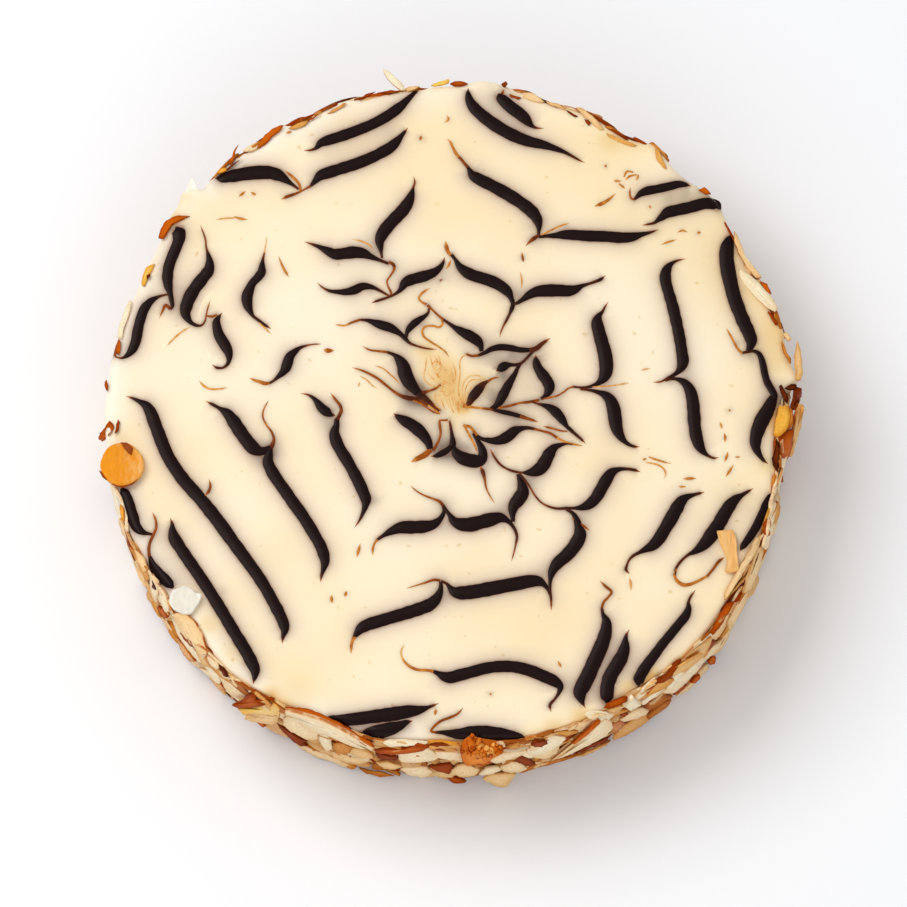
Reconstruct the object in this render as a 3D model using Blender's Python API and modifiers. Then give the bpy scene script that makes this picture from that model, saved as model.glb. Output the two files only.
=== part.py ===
"""A round layered almond torte, 18 cm across, standing on its flat base.

The uncut cake is one solid, with the flaked almonds that cover its side fused on. A sheet of
poured icing covers the top, and the dark feathered lines are low relief in it. The larger
almond pieces that lie loose on the icing are solids of their own.

Metres, +Z up. The origin is the centre of the flat base, and bearings are degrees round +Z from +X.
"""
import math
import random

import bmesh
import bpy
from mathutils import Matrix, Vector

MM = 0.001

# Driving dimensions
CAKE_HEIGHT = 40 * MM           # from the base to the top of the icing
CORE_RADIUS = 85.6 * MM         # the cake itself, under the almonds
CORE_CENTRE = (-1.3 * MM, -1 * MM)  # the cake stands a little to one side under its icing
CORE_SEGMENTS = 48
ICING_THICKNESS = 3 * MM
ICING_EDGE_ROUND = 1.1 * MM
TOUCH_GAP = 0.3 * MM            # left between pieces that touch
SLIVER = 0.002 * MM             # edges shorter than this are closed up after a union

LINE_RISE = 0.45 * MM           # height of a chocolate line above the icing
LINE_SINK = 0.35 * MM           # how far its flanks run down into the icing
LINE_STEP = 5.5 * MM            # spacing of the sections along a line
LINE_TIP_SHARE = 0.12           # width at the very tip, as a share of the line's full width
LINE_NECK_SHARE = 0.42          # width at the neck, next to the tip

FLAKE_ROWS = (4.6, 11.2, 18, 24.8, 31.2)    # heights of the rows of flakes, in mm
FLAKES_PER_ROW = 33
FLAKE_LENGTHS = (13 * MM, 20 * MM)
FLAKE_WIDTHS = (7.8 * MM, 10 * MM)
FLAKE_THICKNESS = 1.15 * MM
FLAKE_BITE = 0.9 * MM           # how deep a flake's inner edge sits in the cake
SLICE_BITE = 1.5 * MM           # how deep the foot of a slice at the rim sits in the cake
FLAKE_LEANS = (-12, 12)         # tilt of a flake's face in degrees, positive where its top tips outwards
FLAKE_YAWS = (-12, 12)          # turn of a flake about the vertical, in degrees
FLAKE_DRIFT = 1.6               # how far a flake strays from its row's height, in mm
FLAKE_SIDES = 7
FLAKE_SEED = 12

# The icing's edge: bearing in degrees and radius in mm, where the poured sheet bulges or recedes
RIM = (
    (0, 83.6), (6, 86.6), (12, 87.2), (20, 86.2), (27, 85.2), (33, 86.4), (39, 88.4), (46, 86.8),
    (53, 88.2), (60, 86.6), (68, 87.4), (76, 87.4), (82, 89.4), (88, 88.4), (96, 88.3), (104, 88.2),
    (112, 87.8), (120, 87.6), (128, 87.7), (133.5, 88.4), (135.6, 87.4), (137.3, 91.8), (139, 90.4),
    (142, 89.2), (149, 87.7), (157, 87), (165, 87.8), (174, 88.6), (182, 88.9), (190, 88.4), (198, 88.8),
    (206, 88.2), (214, 87.8), (222, 88), (229, 89.9), (236, 90.4), (243, 89.5), (251, 88.9), (259, 90),
    (267, 88.7), (274, 88.7), (281, 90), (288, 89.4), (295, 89.5), (301, 87.9), (309, 88.6), (317, 88.1),
    (325, 87), (332, 85.7), (340, 85.5), (347, 84.4), (354, 83),
)

# The feathered lines, in mm: full width, then tip, neck, shoulder, ... shoulder, neck, tip
LINES = (
    # upper left
    (2.9, (-38, 70.5), (-35.2, 71), (-32.8, 73), (-20, 78.1), (-13.4, 82), (-11, 84.8), (-8.6, 87.4)),
    (3.2, (-40.5, 58.6), (-36.2, 60.8), (-33, 63.9), (-21, 68.5), (-15.5, 71.3), (-13, 74.4), (-11.3, 76.7)),
    (3.6, (-61.3, 63.3), (-60.2, 63.1), (-57, 63.4), (-50, 64.5), (-45.2, 64.1), (-42, 61.9), (-39.5, 59.9)),
    (3.2, (-9.8, 63.4), (-9.8, 60), (-11, 56.6), (-14.6, 51.9), (-17.8, 47.6), (-18.2, 43.6), (-17.9, 41)),
    (3.1, (-38, 45.5), (-34, 43.9), (-30.3, 42.2), (-24.5, 42.6), (-20.6, 41.4), (-17.8, 40.2)),
    (2.3, (-34.5, 34.2), (-31.2, 32), (-26.5, 32), (-22.8, 33.3), (-19.3, 32.6), (-15.8, 30.6)),
    (3.0, (-15.3, 30.8), (-13.2, 32.4), (-11.2, 35), (-5.5, 36.8), (-2.9, 38.9), (-1.8, 41.2)),
    (2.5, (-25.5, 23.5), (-21.4, 23.9), (-17.9, 22.6), (-15.2, 21.7), (-12.3, 19.4), (-9, 17.1)),
    (1.9, (-11.7, 19.3), (-11.3, 21.1), (-9.8, 23), (-8, 24.4), (-6, 26.2)),
    # left
    (3.1, (-71, 50), (-70.3, 49), (-70, 46), (-73, 37), (-72.4, 31.8), (-72, 27.5)),
    (3.3, (-64.2, 48), (-62.8, 42), (-62.4, 38.4), (-65.8, 32.8), (-68, 27), (-66, 23.1), (-63.8, 23.3)),
    (2.9, (-58.9, 26.2), (-60.1, 24.4), (-59.9, 20.8), (-57.7, 16.3), (-57.2, 13), (-60.3, 11.2)),
    (2.7, (-48.2, 42.5), (-48.7, 40.2), (-49.1, 37), (-52.5, 30.5), (-51.3, 25.7), (-46.5, 21.8)),
    (2.7, (-74.4, 30.9), (-76.3, 30), (-79.1, 26.8), (-80.9, 18.6), (-82.9, 14.8), (-86, 14.2)),
    (2.7, (-37.5, 17.1), (-39.6, 16.1), (-42, 13.2), (-43.1, 10.2), (-45.3, 7.9), (-50.8, 7.9)),
    # lower left
    (3.3, (-83.5, 3.5), (-79.6, 1.8), (-76.9, -1.5), (-73, -12), (-63.7, -24.8), (-49.4, -45),
     (-43.3, -56.5), (-42.6, -60), (-43.1, -63)),
    (3.6, (-63, 2.1), (-59.6, 0.2), (-56.4, -2.6), (-50.8, -10.5), (-48.2, -11.4), (-46.2, -10.2)),
    (3.2, (-46.4, -10.2), (-46.8, -12.6), (-46.4, -16.2), (-40.8, -25), (-34.5, -34.7), (-32.2, -41.4),
     (-33.4, -46.6)),
    (2.4, (-38.8, 4.2), (-35.6, 3.1), (-33.3, 0.3), (-31, -1.5), (-29.3, -2.4)),
    (3.1, (-29.4, -2.8), (-29.8, -5), (-29.1, -9.4), (-22.3, -22.8), (-22.3, -27), (-24.4, -31.4)),
    (3.2, (-71.9, -29.4), (-71.2, -32), (-69.7, -36.4), (-55.1, -60.4), (-49.8, -70.2), (-50.4, -73.6)),
    (2.8, (-84.2, -21.9), (-83.6, -23.2), (-82, -27), (-80.4, -31.4), (-78.2, -33.4), (-76, -33.6)),
    (2.6, (-77.1, -39.8), (-76.2, -42.2), (-74.2, -44.9), (-73.2, -46.2), (-72.6, -46.9)),
    (3.4, (-20.1, -38), (-17.4, -34.1), (-13.2, -32.1), (-6.4, -31.6), (-3, -29.8), (-2, -26.4)),
    (3.4, (-25.5, -64), (-24.6, -61), (-21.6, -58), (-6, -52.7), (-3.2, -49.8), (-2.8, -46.5)),
    (3.5, (-32, -82.6), (-29.5, -83.1), (-24, -83), (-12, -81.4), (-7.6, -80.7), (-3.3, -79)),
    (3.3, (-23.6, -86.2), (-22.2, -86.3), (-19, -86.2), (-15.4, -85.5), (-12.6, -84.6), (-10, -83.7)),
    # lower right
    (3.8, (-2, -26.4), (-0.3, -28.9), (2.6, -31.1), (10.5, -29.7), (14.2, -30), (16.5, -33.5)),
    (3.8, (-2.7, -46.4), (-0.6, -48), (2.4, -49.5), (20, -46.4), (23.6, -47.5), (25.2, -50.3)),
    (3.2, (-6.3, -70.2), (-3.3, -71.2), (0, -72), (12, -69.1), (25.6, -72.8), (27.3, -75.6), (25.6, -78.6)),
    (3.2, (-5, -86.4), (-2, -86.4), (3, -86.5), (11, -86.6), (16, -87.2), (19, -87.6)),
    (3.4, (17, -17.5), (17.4, -19.2), (18.2, -22), (16.2, -25.8), (15.5, -28.4), (15.5, -30.4)),
    (3.4, (16, -16.9), (19.2, -17.2), (22, -16.6), (24.7, -12.8), (27, -10.1), (31, -9.5)),
    (3.2, (29.5, -26.8), (32.6, -26.7), (36, -25), (40.2, -18.2), (43, -16.3), (48.3, -17)),
    (3.4, (29.3, -27.1), (31.9, -30), (32.6, -33.8), (27, -41.4), (25.2, -45.4), (25.2, -50)),
    (3.3, (45.3, -41), (49.3, -38.1), (52.8, -35.2), (58.3, -25.6), (61, -23.5), (64.6, -22.5)),
    (3.5, (77.2, -21.4), (74.2, -23.3), (71.3, -26.4), (65.2, -35.6), (61.5, -38.8), (57.6, -42.4)),
    (2.1, (82, -22.4), (81.2, -24), (78.7, -30.2), (75.4, -35.6), (74.2, -37.4)),
    (3.7, (38.3, -53.6), (38.9, -56), (39.4, -60), (33.3, -74.4), (32.9, -77.4), (34, -80.2)),
    (3.6, (45.3, -59.4), (44.3, -62), (43.2, -66.5), (39.8, -74), (39.6, -77.4), (39.7, -79)),
    (2.6, (61.6, -49.6), (60.5, -52.4), (59.4, -56), (49.8, -68.9), (47.8, -72), (47.5, -73.6)),
    # right
    (3.0, (60.3, 40.8), (56.8, 39.7), (55, 36.4), (57.4, 25.5), (59.3, 13), (57.8, 9.8), (54.8, 8)),
    (3.3, (55.5, 8.1), (58.8, 7.7), (61.2, 4.6), (62.2, -4.5), (63.3, -9.6), (65.3, -12.5), (68.5, -13.1)),
    (3.7, (72, 46.8), (71.7, 45.6), (71, 42), (72.6, 30.8), (76.7, 20), (76.6, 16.6), (76.1, 15.4)),
    (1.9, (76.5, 15.6), (78.9, 14.9), (80, 11.5), (80.8, 7.5), (81.9, 4.6)),
    (3.5, (82, 3.4), (81.7, 2), (80.2, -1.7), (78, -8.3), (78.9, -12.6), (80.8, -14.6)),
    (3.4, (40.3, 29.1), (38.2, 25.8), (37.7, 21.5), (39.6, 12.5), (38.6, 7.9), (34, 5.8)),
    (3.5, (33.8, 5.4), (38, 4.4), (40.9, 2), (42, -4.2), (44.2, -8.6), (48.3, -10.2)),
    # upper right
    (2.9, (22.5, 46.9), (26.4, 47.2), (30.5, 47.4), (45, 46.6), (49.2, 47.6), (53.3, 48.8)),
    (3.4, (3.2, 67), (4.9, 64.6), (7, 62.7), (19, 55.3), (22.2, 50.9), (22.4, 47.4)),
    (3.3, (4.4, 87), (4.5, 85.4), (6, 82.1), (12.5, 76.7), (21, 72.8), (28.5, 70.3), (34.4, 67.1)),
    (3.3, (12.4, 86), (12.8, 85), (14.2, 83.5), (18.6, 79.8), (20.8, 77.3), (23.8, 76.6)),
    (2.3, (47.2, 57.1), (48.3, 58.1), (50.8, 59.5), (57.5, 61), (59.6, 61.1), (61, 60.8)),
    (3.2, (50.8, 50.3), (53.6, 51.7), (56.2, 53.7), (63, 55.3), (66.4, 55.8), (68.4, 55.4)),
    (3.2, (0.2, 41.4), (1.8, 39.2), (5, 36.6), (12, 33.9), (15.1, 30.6), (15.8, 28)),
    (3.3, (15.9, 28.4), (18.6, 29.9), (21.8, 31.8), (30, 32.2), (33.4, 33.3), (38.5, 35.3)),
    # round the hub
    (3.6, (-17, 15.4), (-14.3, 14.2), (-12.3, 11.4), (-11, 7.5), (-8.2, 4), (-3.1, -0.5)),
    (2.8, (-2, 24.2), (0.6, 22.3), (3.2, 20.7), (6.3, 18.8), (7.6, 16.8), (7.7, 15.3)),
    (1.8, (5.2, 14.4), (8.8, 15.4), (12.5, 16.8), (17.5, 16.1), (21.5, 16.3), (24.5, 18.7)),
    (2.2, (11.5, 10.4), (12.7, 11.1), (14, 11.7), (16.5, 12), (20.3, 15)),
    (2.3, (17.6, 12.2), (16, 9), (14.3, 6), (12.4, 2.5), (9.8, 0.1)),
    (2.9, (21.6, 14.8), (21.8, 12.8), (23.4, 9.3), (25, 6.2), (24.3, 3.8), (22.9, 2.7)),
    (2.5, (9.2, 7.5), (8.2, 6.8), (6.3, 4.5), (4.9, 2.3), (4, 0.7)),
    (2.6, (21.5, 1.6), (24.3, 0.8), (26.6, -0.7), (28.6, -3.2), (30, -5.2), (33, -8)),
    (2.9, (6.5, -7.2), (9.4, -8.4), (12.8, -8.3), (15.8, -6.3), (19, -5.2), (23, -6)),
    (3.5, (0.3, -9.6), (1, -11.5), (3, -13.4), (6.8, -13.9), (8, -11.8), (6.4, -8.2)),
    (1.7, (-5.6, -12.9), (-3.4, -12.4), (-1, -11.1), (0.2, -9.6)),
    (3.3, (-14.9, -1.2), (-13.4, -2.4), (-10.4, -4.2), (-7, -7.3), (-5.6, -10.4), (-7, -12.5)),
)

# Whole slices that stand at the rim, in mm: the ends of the upper edge seen from above, its height,
# and how far the face reaches down, to where its foot sits in the cake
RIM_SLICES = (
    ((-44.6, -79.4), (-21.8, -87.6), 41.2, 12),
    ((79, -34.4), (70, -50.6), 41.2, 10),
    ((-57.6, -74.2), (-46.6, -80.2), 41, 10),
    ((41.6, -80), (52.6, -73.4), 40.8, 9),
    ((88.2, 16.4), (88.4, 5.6), 40.6, 12),
    ((87.8, -0.4), (86.4, -12.8), 39.6, 11),
    ((-3.6, 90.2), (-15.6, 89.2), 40.2, 14),
    ((-75, 46.4), (-68.2, 54), 40.8, 10),
    ((31.6, 81.8), (40.4, 76.6), 40.4, 10),
    ((-67.8, -57), (-61.2, -65), 41, 10),
)


def own_material(name, colour, roughness):
    """A plain opaque material in the piece's own colour."""
    material = bpy.data.materials.new(name)
    material.use_nodes = True
    shader = material.node_tree.nodes["Principled BSDF"]
    shader.inputs["Base Color"].default_value = (*colour, 1)
    shader.inputs["Roughness"].default_value = roughness
    shader.inputs["Metallic"].default_value = 0
    return material


def new_collection(name):
    """A collection linked to the scene."""
    collection = bpy.data.collections.new(name)
    bpy.context.scene.collection.children.link(collection)
    return collection


def add_object(name, bm, collection):
    """A mesh object made from a bmesh, which is freed."""
    bmesh.ops.recalc_face_normals(bm, faces=bm.faces)
    mesh = bpy.data.meshes.new(name)
    bm.to_mesh(mesh)
    bm.free()
    obj = bpy.data.objects.new(name, mesh)
    collection.objects.link(obj)
    return obj


def rim_outline(spread):
    """Corners of the icing's outline, moved outwards by spread."""
    corners = []
    for bearing, radius in RIM:
        angle = math.radians(bearing)
        reach = radius * MM + spread
        corners.append(Vector((reach * math.cos(angle), reach * math.sin(angle), 0)))
    return corners


def slab(corners, low, high):
    """A flat plate between two heights over an outline."""
    bm = bmesh.new()
    floor = bm.faces.new([bm.verts.new((corner.x, corner.y, low)) for corner in corners])
    raised = bmesh.ops.extrude_face_region(bm, geom=[floor])["geom"]
    top = [item for item in raised if isinstance(item, bmesh.types.BMVert)]
    bmesh.ops.translate(bm, verts=top, vec=(0, 0, high - low))
    return bm


def spline_point(before, start, end, after, share):
    """A point on the uniform Catmull-Rom curve between start and end."""
    square, cube = share ** 2, share ** 3
    return 0.5 * (2 * start + (end - before) * share
                  + (2 * before - 5 * start + 4 * end - after) * square
                  + (3 * start - before - 3 * end + after) * cube)


def line_sections(width, points):
    """Centres and half widths along a feathered line: fine tips, full width between the shoulders."""
    shares = [1.0] * len(points)
    shares[0] = shares[-1] = LINE_TIP_SHARE
    shares[1] = shares[-2] = LINE_NECK_SHARE
    rows = [Vector((x, y, width * share / 2)) * MM for (x, y), share in zip(points, shares)]
    padded = [2 * rows[0] - rows[1], *rows, 2 * rows[-1] - rows[-2]]
    sections = []
    for before, start, end, after in zip(padded, padded[1:], padded[2:], padded[3:]):
        steps = max(1, round((end - start).xy.length / LINE_STEP))
        sections += [spline_point(before, start, end, after, i / steps) for i in range(steps)]
    sections.append(rows[-1])
    return sections


def line_solid(width, points):
    """A line as a ridge: a low wedge that follows its centreline, sunk a little into the icing."""
    sections = line_sections(width, points)
    spread = (LINE_RISE + LINE_SINK) / LINE_RISE     # the flanks go on below the icing's surface
    crown = CAKE_HEIGHT + LINE_RISE
    foot = CAKE_HEIGHT - LINE_SINK
    bm = bmesh.new()
    rings = []
    for index, section in enumerate(sections):
        ahead = sections[min(index + 1, len(sections) - 1)]
        behind = sections[max(index - 1, 0)]
        along = (ahead - behind).xy.normalized()
        side = Vector((-along.y, along.x)) * section.z * spread
        rings.append((
            bm.verts.new((section.x + side.x, section.y + side.y, foot)),
            bm.verts.new((section.x, section.y, crown)),
            bm.verts.new((section.x - side.x, section.y - side.y, foot)),
        ))
    for ring, following in zip(rings, rings[1:]):
        for corner in range(3):
            other = (corner + 1) % 3
            bm.faces.new((ring[corner], ring[other], following[other], following[corner]))
    bm.faces.new(rings[0])
    bm.faces.new(reversed(rings[-1]))
    bmesh.ops.triangulate(bm, faces=bm.faces)
    return bm


def slice_solid(length, width, thickness):
    """An almond slice lying in XY: an oval that narrows to a point at +X."""
    bm = bmesh.new()
    outline = []
    for side in range(FLAKE_SIDES):
        angle = math.tau * side / FLAKE_SIDES
        narrowing = 1 - 0.3 * math.cos(angle)
        outline.append(bm.verts.new((length / 2 * math.cos(angle),
                                     width / 2 * math.sin(angle) * narrowing, -thickness / 2)))
    face = bm.faces.new(outline)
    raised = bmesh.ops.extrude_face_region(bm, geom=[face])["geom"]
    top = [item for item in raised if isinstance(item, bmesh.types.BMVert)]
    bmesh.ops.translate(bm, verts=top, vec=(0, 0, thickness))
    return bm


def side_frame(bearing, lean, yaw, roll):
    """Turns a slice that lies in XY to stand against the side at a bearing: lean tips its top
    outwards, yaw turns it about the vertical, roll turns it in its own plane."""
    stand = Matrix(((0, 0, 1), (1, 0, 0), (0, 1, 0))).to_4x4()
    return (Matrix.Rotation(math.radians(bearing + yaw), 4, "Z") @ Matrix.Rotation(math.radians(lean), 4, "Y")
            @ stand @ Matrix.Rotation(math.radians(roll), 4, "Z"))


def scattered_flake(rng, bearing, height):
    """One broken or whole flake, its inner edge pressed into the cake's side."""
    length = rng.uniform(*FLAKE_LENGTHS)
    bm = slice_solid(length, rng.uniform(*FLAKE_WIDTHS), FLAKE_THICKNESS)
    frame = side_frame(bearing, rng.uniform(*FLAKE_LEANS), rng.uniform(*FLAKE_YAWS),
                       rng.uniform(0, 360))
    bmesh.ops.transform(bm, matrix=frame, verts=bm.verts)
    outward = Vector((math.cos(math.radians(bearing)), math.sin(math.radians(bearing)), 0))
    lowest = min(vert.co.z for vert in bm.verts)
    lift = max(height, TOUCH_GAP - lowest)
    nearest = min(vert.co.dot(outward) for vert in bm.verts)
    shift = Vector((*CORE_CENTRE, lift)) + outward * (CORE_RADIUS - FLAKE_BITE - nearest)
    bmesh.ops.translate(bm, verts=bm.verts, vec=shift)
    return bm


def rim_slice(start, end, top, reach):
    """A whole slice on its long edge at the rim, leaning so far out that its foot sits in the cake."""
    start, end = Vector(start) * MM, Vector(end) * MM
    middle, run = (start + end) / 2, end - start
    facing = Vector((-run.y, run.x)).normalized()
    facing *= math.copysign(1, facing.dot(middle))
    bearing = math.degrees(math.atan2(facing.y, facing.x))
    overhang = (middle - Vector(CORE_CENTRE)).dot(facing) - (CORE_RADIUS - SLICE_BITE)
    lean = math.degrees(math.asin(overhang / (reach * MM)))
    bm = slice_solid(run.length, reach * MM, FLAKE_THICKNESS)
    bmesh.ops.transform(bm, matrix=side_frame(bearing, lean, 0, 0), verts=bm.verts)
    highest = max(bm.verts, key=lambda vert: vert.co.z).co.copy()
    shift = middle - facing * highest.xy.dot(facing)
    bmesh.ops.translate(bm, verts=bm.verts, vec=(shift.x, shift.y, top * MM - highest.z))
    return bm


def fuse(base, pieces, cutter=None):
    """Joins a collection's solids to the base, takes the cutter away, and applies both."""
    join = base.modifiers.new("fused", "BOOLEAN")
    join.operation = "UNION"
    join.operand_type = "COLLECTION"
    join.collection = pieces
    if cutter:
        cut = base.modifiers.new("cleared", "BOOLEAN")
        cut.operation = "DIFFERENCE"
        cut.object = cutter
    bpy.context.view_layer.update()
    evaluated = base.evaluated_get(bpy.context.evaluated_depsgraph_get())
    joined = bpy.data.meshes.new_from_object(evaluated)
    base.modifiers.clear()
    base.data = joined
    for piece in list(pieces.objects):
        bpy.data.objects.remove(piece, do_unlink=True)
    bpy.data.collections.remove(pieces)


def keep_largest_body(obj):
    """Drops the scraps that a cut left loose."""
    bm = bmesh.new()
    bm.from_mesh(obj.data)
    unseen = set(bm.verts)
    bodies = []
    while unseen:
        body, edge_of_search = set(), [unseen.pop()]
        while edge_of_search:
            vert = edge_of_search.pop()
            body.add(vert)
            linked = [edge.other_vert(vert) for edge in vert.link_edges]
            edge_of_search += [other for other in linked if other in unseen]
            unseen.difference_update(linked)
        bodies.append(body)
    bodies.sort(key=len)
    for scrap in bodies[:-1]:
        bmesh.ops.delete(bm, geom=list(scrap), context="VERTS")
    bm.to_mesh(obj.data)
    bm.free()


def tidy_mesh(obj):
    """Merges the slivers that a union leaves and makes every face a triangle."""
    bm = bmesh.new()
    bm.from_mesh(obj.data)
    bmesh.ops.dissolve_degenerate(bm, edges=bm.edges, dist=SLIVER)
    bmesh.ops.triangulate(bm, faces=bm.faces)
    bm.to_mesh(obj.data)
    bm.free()


def make_cake(parts, cutters):
    """The uncut cake with its flaked side, clear of the icing sheet."""
    top = CAKE_HEIGHT - ICING_THICKNESS - TOUCH_GAP
    bm = bmesh.new()
    bmesh.ops.create_cone(bm, cap_ends=True, segments=CORE_SEGMENTS, radius1=CORE_RADIUS,
                          radius2=CORE_RADIUS, depth=top)
    bmesh.ops.translate(bm, verts=bm.verts, vec=(*CORE_CENTRE, top / 2))
    cake = add_object("cake_body", bm, parts)

    flakes = new_collection("almond_flakes")
    rng = random.Random(FLAKE_SEED)
    for row, height in enumerate(FLAKE_ROWS):
        for index in range(FLAKES_PER_ROW):
            bearing = 360 / FLAKES_PER_ROW * (index + 0.5 * (row % 2) + rng.uniform(-0.3, 0.3))
            drift = rng.uniform(-FLAKE_DRIFT, FLAKE_DRIFT)
            add_object("flake", scattered_flake(rng, bearing, (height + drift) * MM), flakes)
    for stated in RIM_SLICES:
        add_object("flake", rim_slice(*stated), flakes)

    room = slab(rim_outline(1.5 * TOUCH_GAP), top, CAKE_HEIGHT + 4 * ICING_THICKNESS)
    clearance = add_object("icing_clearance", room, cutters)
    clearance.hide_render = True
    clearance.display_type = "WIRE"
    fuse(cake, flakes, clearance)
    bpy.data.objects.remove(clearance, do_unlink=True)
    keep_largest_body(cake)
    tidy_mesh(cake)
    cake.data.materials.append(own_material("toasted_almond", (0.78, 0.55, 0.32), 0.6))
    return cake


def make_icing(parts):
    """The poured icing sheet, its edge rounded, with the feathered lines fused on as low ridges."""
    icing = add_object("fondant_icing",
                       slab(rim_outline(0), CAKE_HEIGHT - ICING_THICKNESS, CAKE_HEIGHT), parts)
    rounding = icing.modifiers.new("rounded_edge", "BEVEL")
    rounding.width = ICING_EDGE_ROUND
    rounding.segments = 2
    rounding.limit_method = "ANGLE"
    rounding.angle_limit = math.radians(60)

    ridges = new_collection("feathered_lines")
    for width, *points in LINES:
        add_object("line", line_solid(width, points), ridges)
    fuse(icing, ridges)
    keep_largest_body(icing)
    tidy_mesh(icing)
    icing.data.materials.append(own_material("icing", (0.95, 0.87, 0.7), 0.35))
    return icing


def make_round_almond(parts):
    """A thick toasted almond half, lying with its cut face up and reaching over the icing's edge."""
    place = Vector((-84.2, -15.4)) * MM
    bm = bmesh.new()
    bmesh.ops.create_uvsphere(bm, u_segments=12, v_segments=6, radius=1)
    bmesh.ops.scale(bm, vec=(5.65 * MM, 5.65 * MM, 3 * MM), verts=bm.verts)
    for vert in bm.verts:
        vert.co.z = min(max(vert.co.z, -1.2 * MM), 1.6 * MM)
    height = CAKE_HEIGHT + TOUCH_GAP + 1.2 * MM
    bmesh.ops.translate(bm, verts=bm.verts, vec=(place.x, place.y, height))
    almond = add_object("toasted_almond_round", bm, parts)
    almond.data.shade_smooth()
    almond.data.materials.append(own_material("toasted_cut_face", (0.85, 0.52, 0.16), 0.5))
    return almond


def make_blanched_piece(parts):
    """A pale broken piece of blanched almond near the rim."""
    place = Vector((-68.6, -51.4)) * MM
    bm = bmesh.new()
    bmesh.ops.create_uvsphere(bm, u_segments=9, v_segments=5, radius=1)
    bmesh.ops.scale(bm, vec=(4 * MM, 3.7 * MM, 1.9 * MM), verts=bm.verts)
    for vert in bm.verts:
        vert.co.z = min(max(vert.co.z, -1 * MM), 1.5 * MM)
    bmesh.ops.translate(bm, verts=bm.verts, vec=(place.x, place.y, CAKE_HEIGHT + TOUCH_GAP + 1 * MM))
    piece = add_object("blanched_almond_piece", bm, parts)
    piece.data.materials.append(own_material("blanched_almond", (0.95, 0.93, 0.88), 0.5))
    return piece


def make_chip(parts):
    """A flat toasted chip that lies across the end of a line, one end on its ridge."""
    outline = ((-2.4, 5.4), (2.2, 5.6), (2.6, -2), (1.7, -5.6), (-0.6, -5.4), (-1.3, -1))
    place = Vector((70.7, -38.6)) * MM
    low, thickness = TOUCH_GAP + 0.15 * MM, 1.1 * MM
    bm = slab([Vector((x, y, 0)) * MM for x, y in outline], 0, thickness)
    tilt = Matrix.Rotation(math.radians(5.5), 4, "X")
    bmesh.ops.transform(bm, matrix=tilt, verts=bm.verts)
    lowest = min(vert.co.z for vert in bm.verts)
    bmesh.ops.translate(bm, verts=bm.verts, vec=(place.x, place.y, CAKE_HEIGHT + low - lowest))
    chip = add_object("toasted_almond_chip", bm, parts)
    chip.data.materials.append(own_material("toasted_chip", (0.86, 0.62, 0.36), 0.5))
    return chip


def main():
    for obj in list(bpy.data.objects):
        bpy.data.objects.remove(obj, do_unlink=True)
    parts = new_collection("almond_torte")
    cutters = new_collection("cutters")
    make_cake(parts, cutters)
    make_icing(parts)
    make_round_almond(parts)
    make_blanched_piece(parts)
    make_chip(parts)


main()
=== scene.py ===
"""Looks for the layered almond torte with feathered icing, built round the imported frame.

Lengths in the tables are millimetres. Places on the icing are x to the right and y away from the
camera, from the middle of the torte. Bearings are degrees round +Z from +X. Two numbers for a value
that varies are its least and greatest, or the middle and spread where it says so.
"""
import math
import random

import bpy
import numpy as np
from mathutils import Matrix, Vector, geometry, noise


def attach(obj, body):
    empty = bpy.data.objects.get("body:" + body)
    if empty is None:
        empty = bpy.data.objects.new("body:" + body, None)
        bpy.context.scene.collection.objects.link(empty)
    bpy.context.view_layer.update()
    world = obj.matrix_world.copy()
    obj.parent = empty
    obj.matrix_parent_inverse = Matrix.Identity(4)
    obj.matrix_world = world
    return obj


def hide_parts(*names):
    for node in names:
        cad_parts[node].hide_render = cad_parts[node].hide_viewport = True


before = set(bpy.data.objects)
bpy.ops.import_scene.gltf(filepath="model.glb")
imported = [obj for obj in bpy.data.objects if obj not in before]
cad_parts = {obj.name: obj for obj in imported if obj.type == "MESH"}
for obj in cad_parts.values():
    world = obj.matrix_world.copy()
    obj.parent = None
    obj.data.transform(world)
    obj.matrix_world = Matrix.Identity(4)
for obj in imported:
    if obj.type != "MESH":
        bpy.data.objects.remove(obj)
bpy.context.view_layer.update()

MM = 0.001
TINY = 1e-9                     # keeps a direction of no length from failing
TOP = 40.0                      # height of the icing's flat top
SHEET_FOOT = 37.08              # underside of the icing sheet
CORE_TOP = 36.6                 # the cake under the icing
FLOOR_CLEARANCE = 0.12          # the lowest that the almonds come

# The photograph's camera
CAMERA_ELEVATION = 71.5
CAMERA_DISTANCE = 3000
CAMERA_LENS = 458.5
CAMERA_SENSOR = 36
CAMERA_CLIP = 20                # metres
CAMERA_AIM = (0.5, 1.35, 0)
SEEN_SHIFT = 1 / math.tan(math.radians(CAMERA_ELEVATION))   # how far a lower point appears nearer

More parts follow.
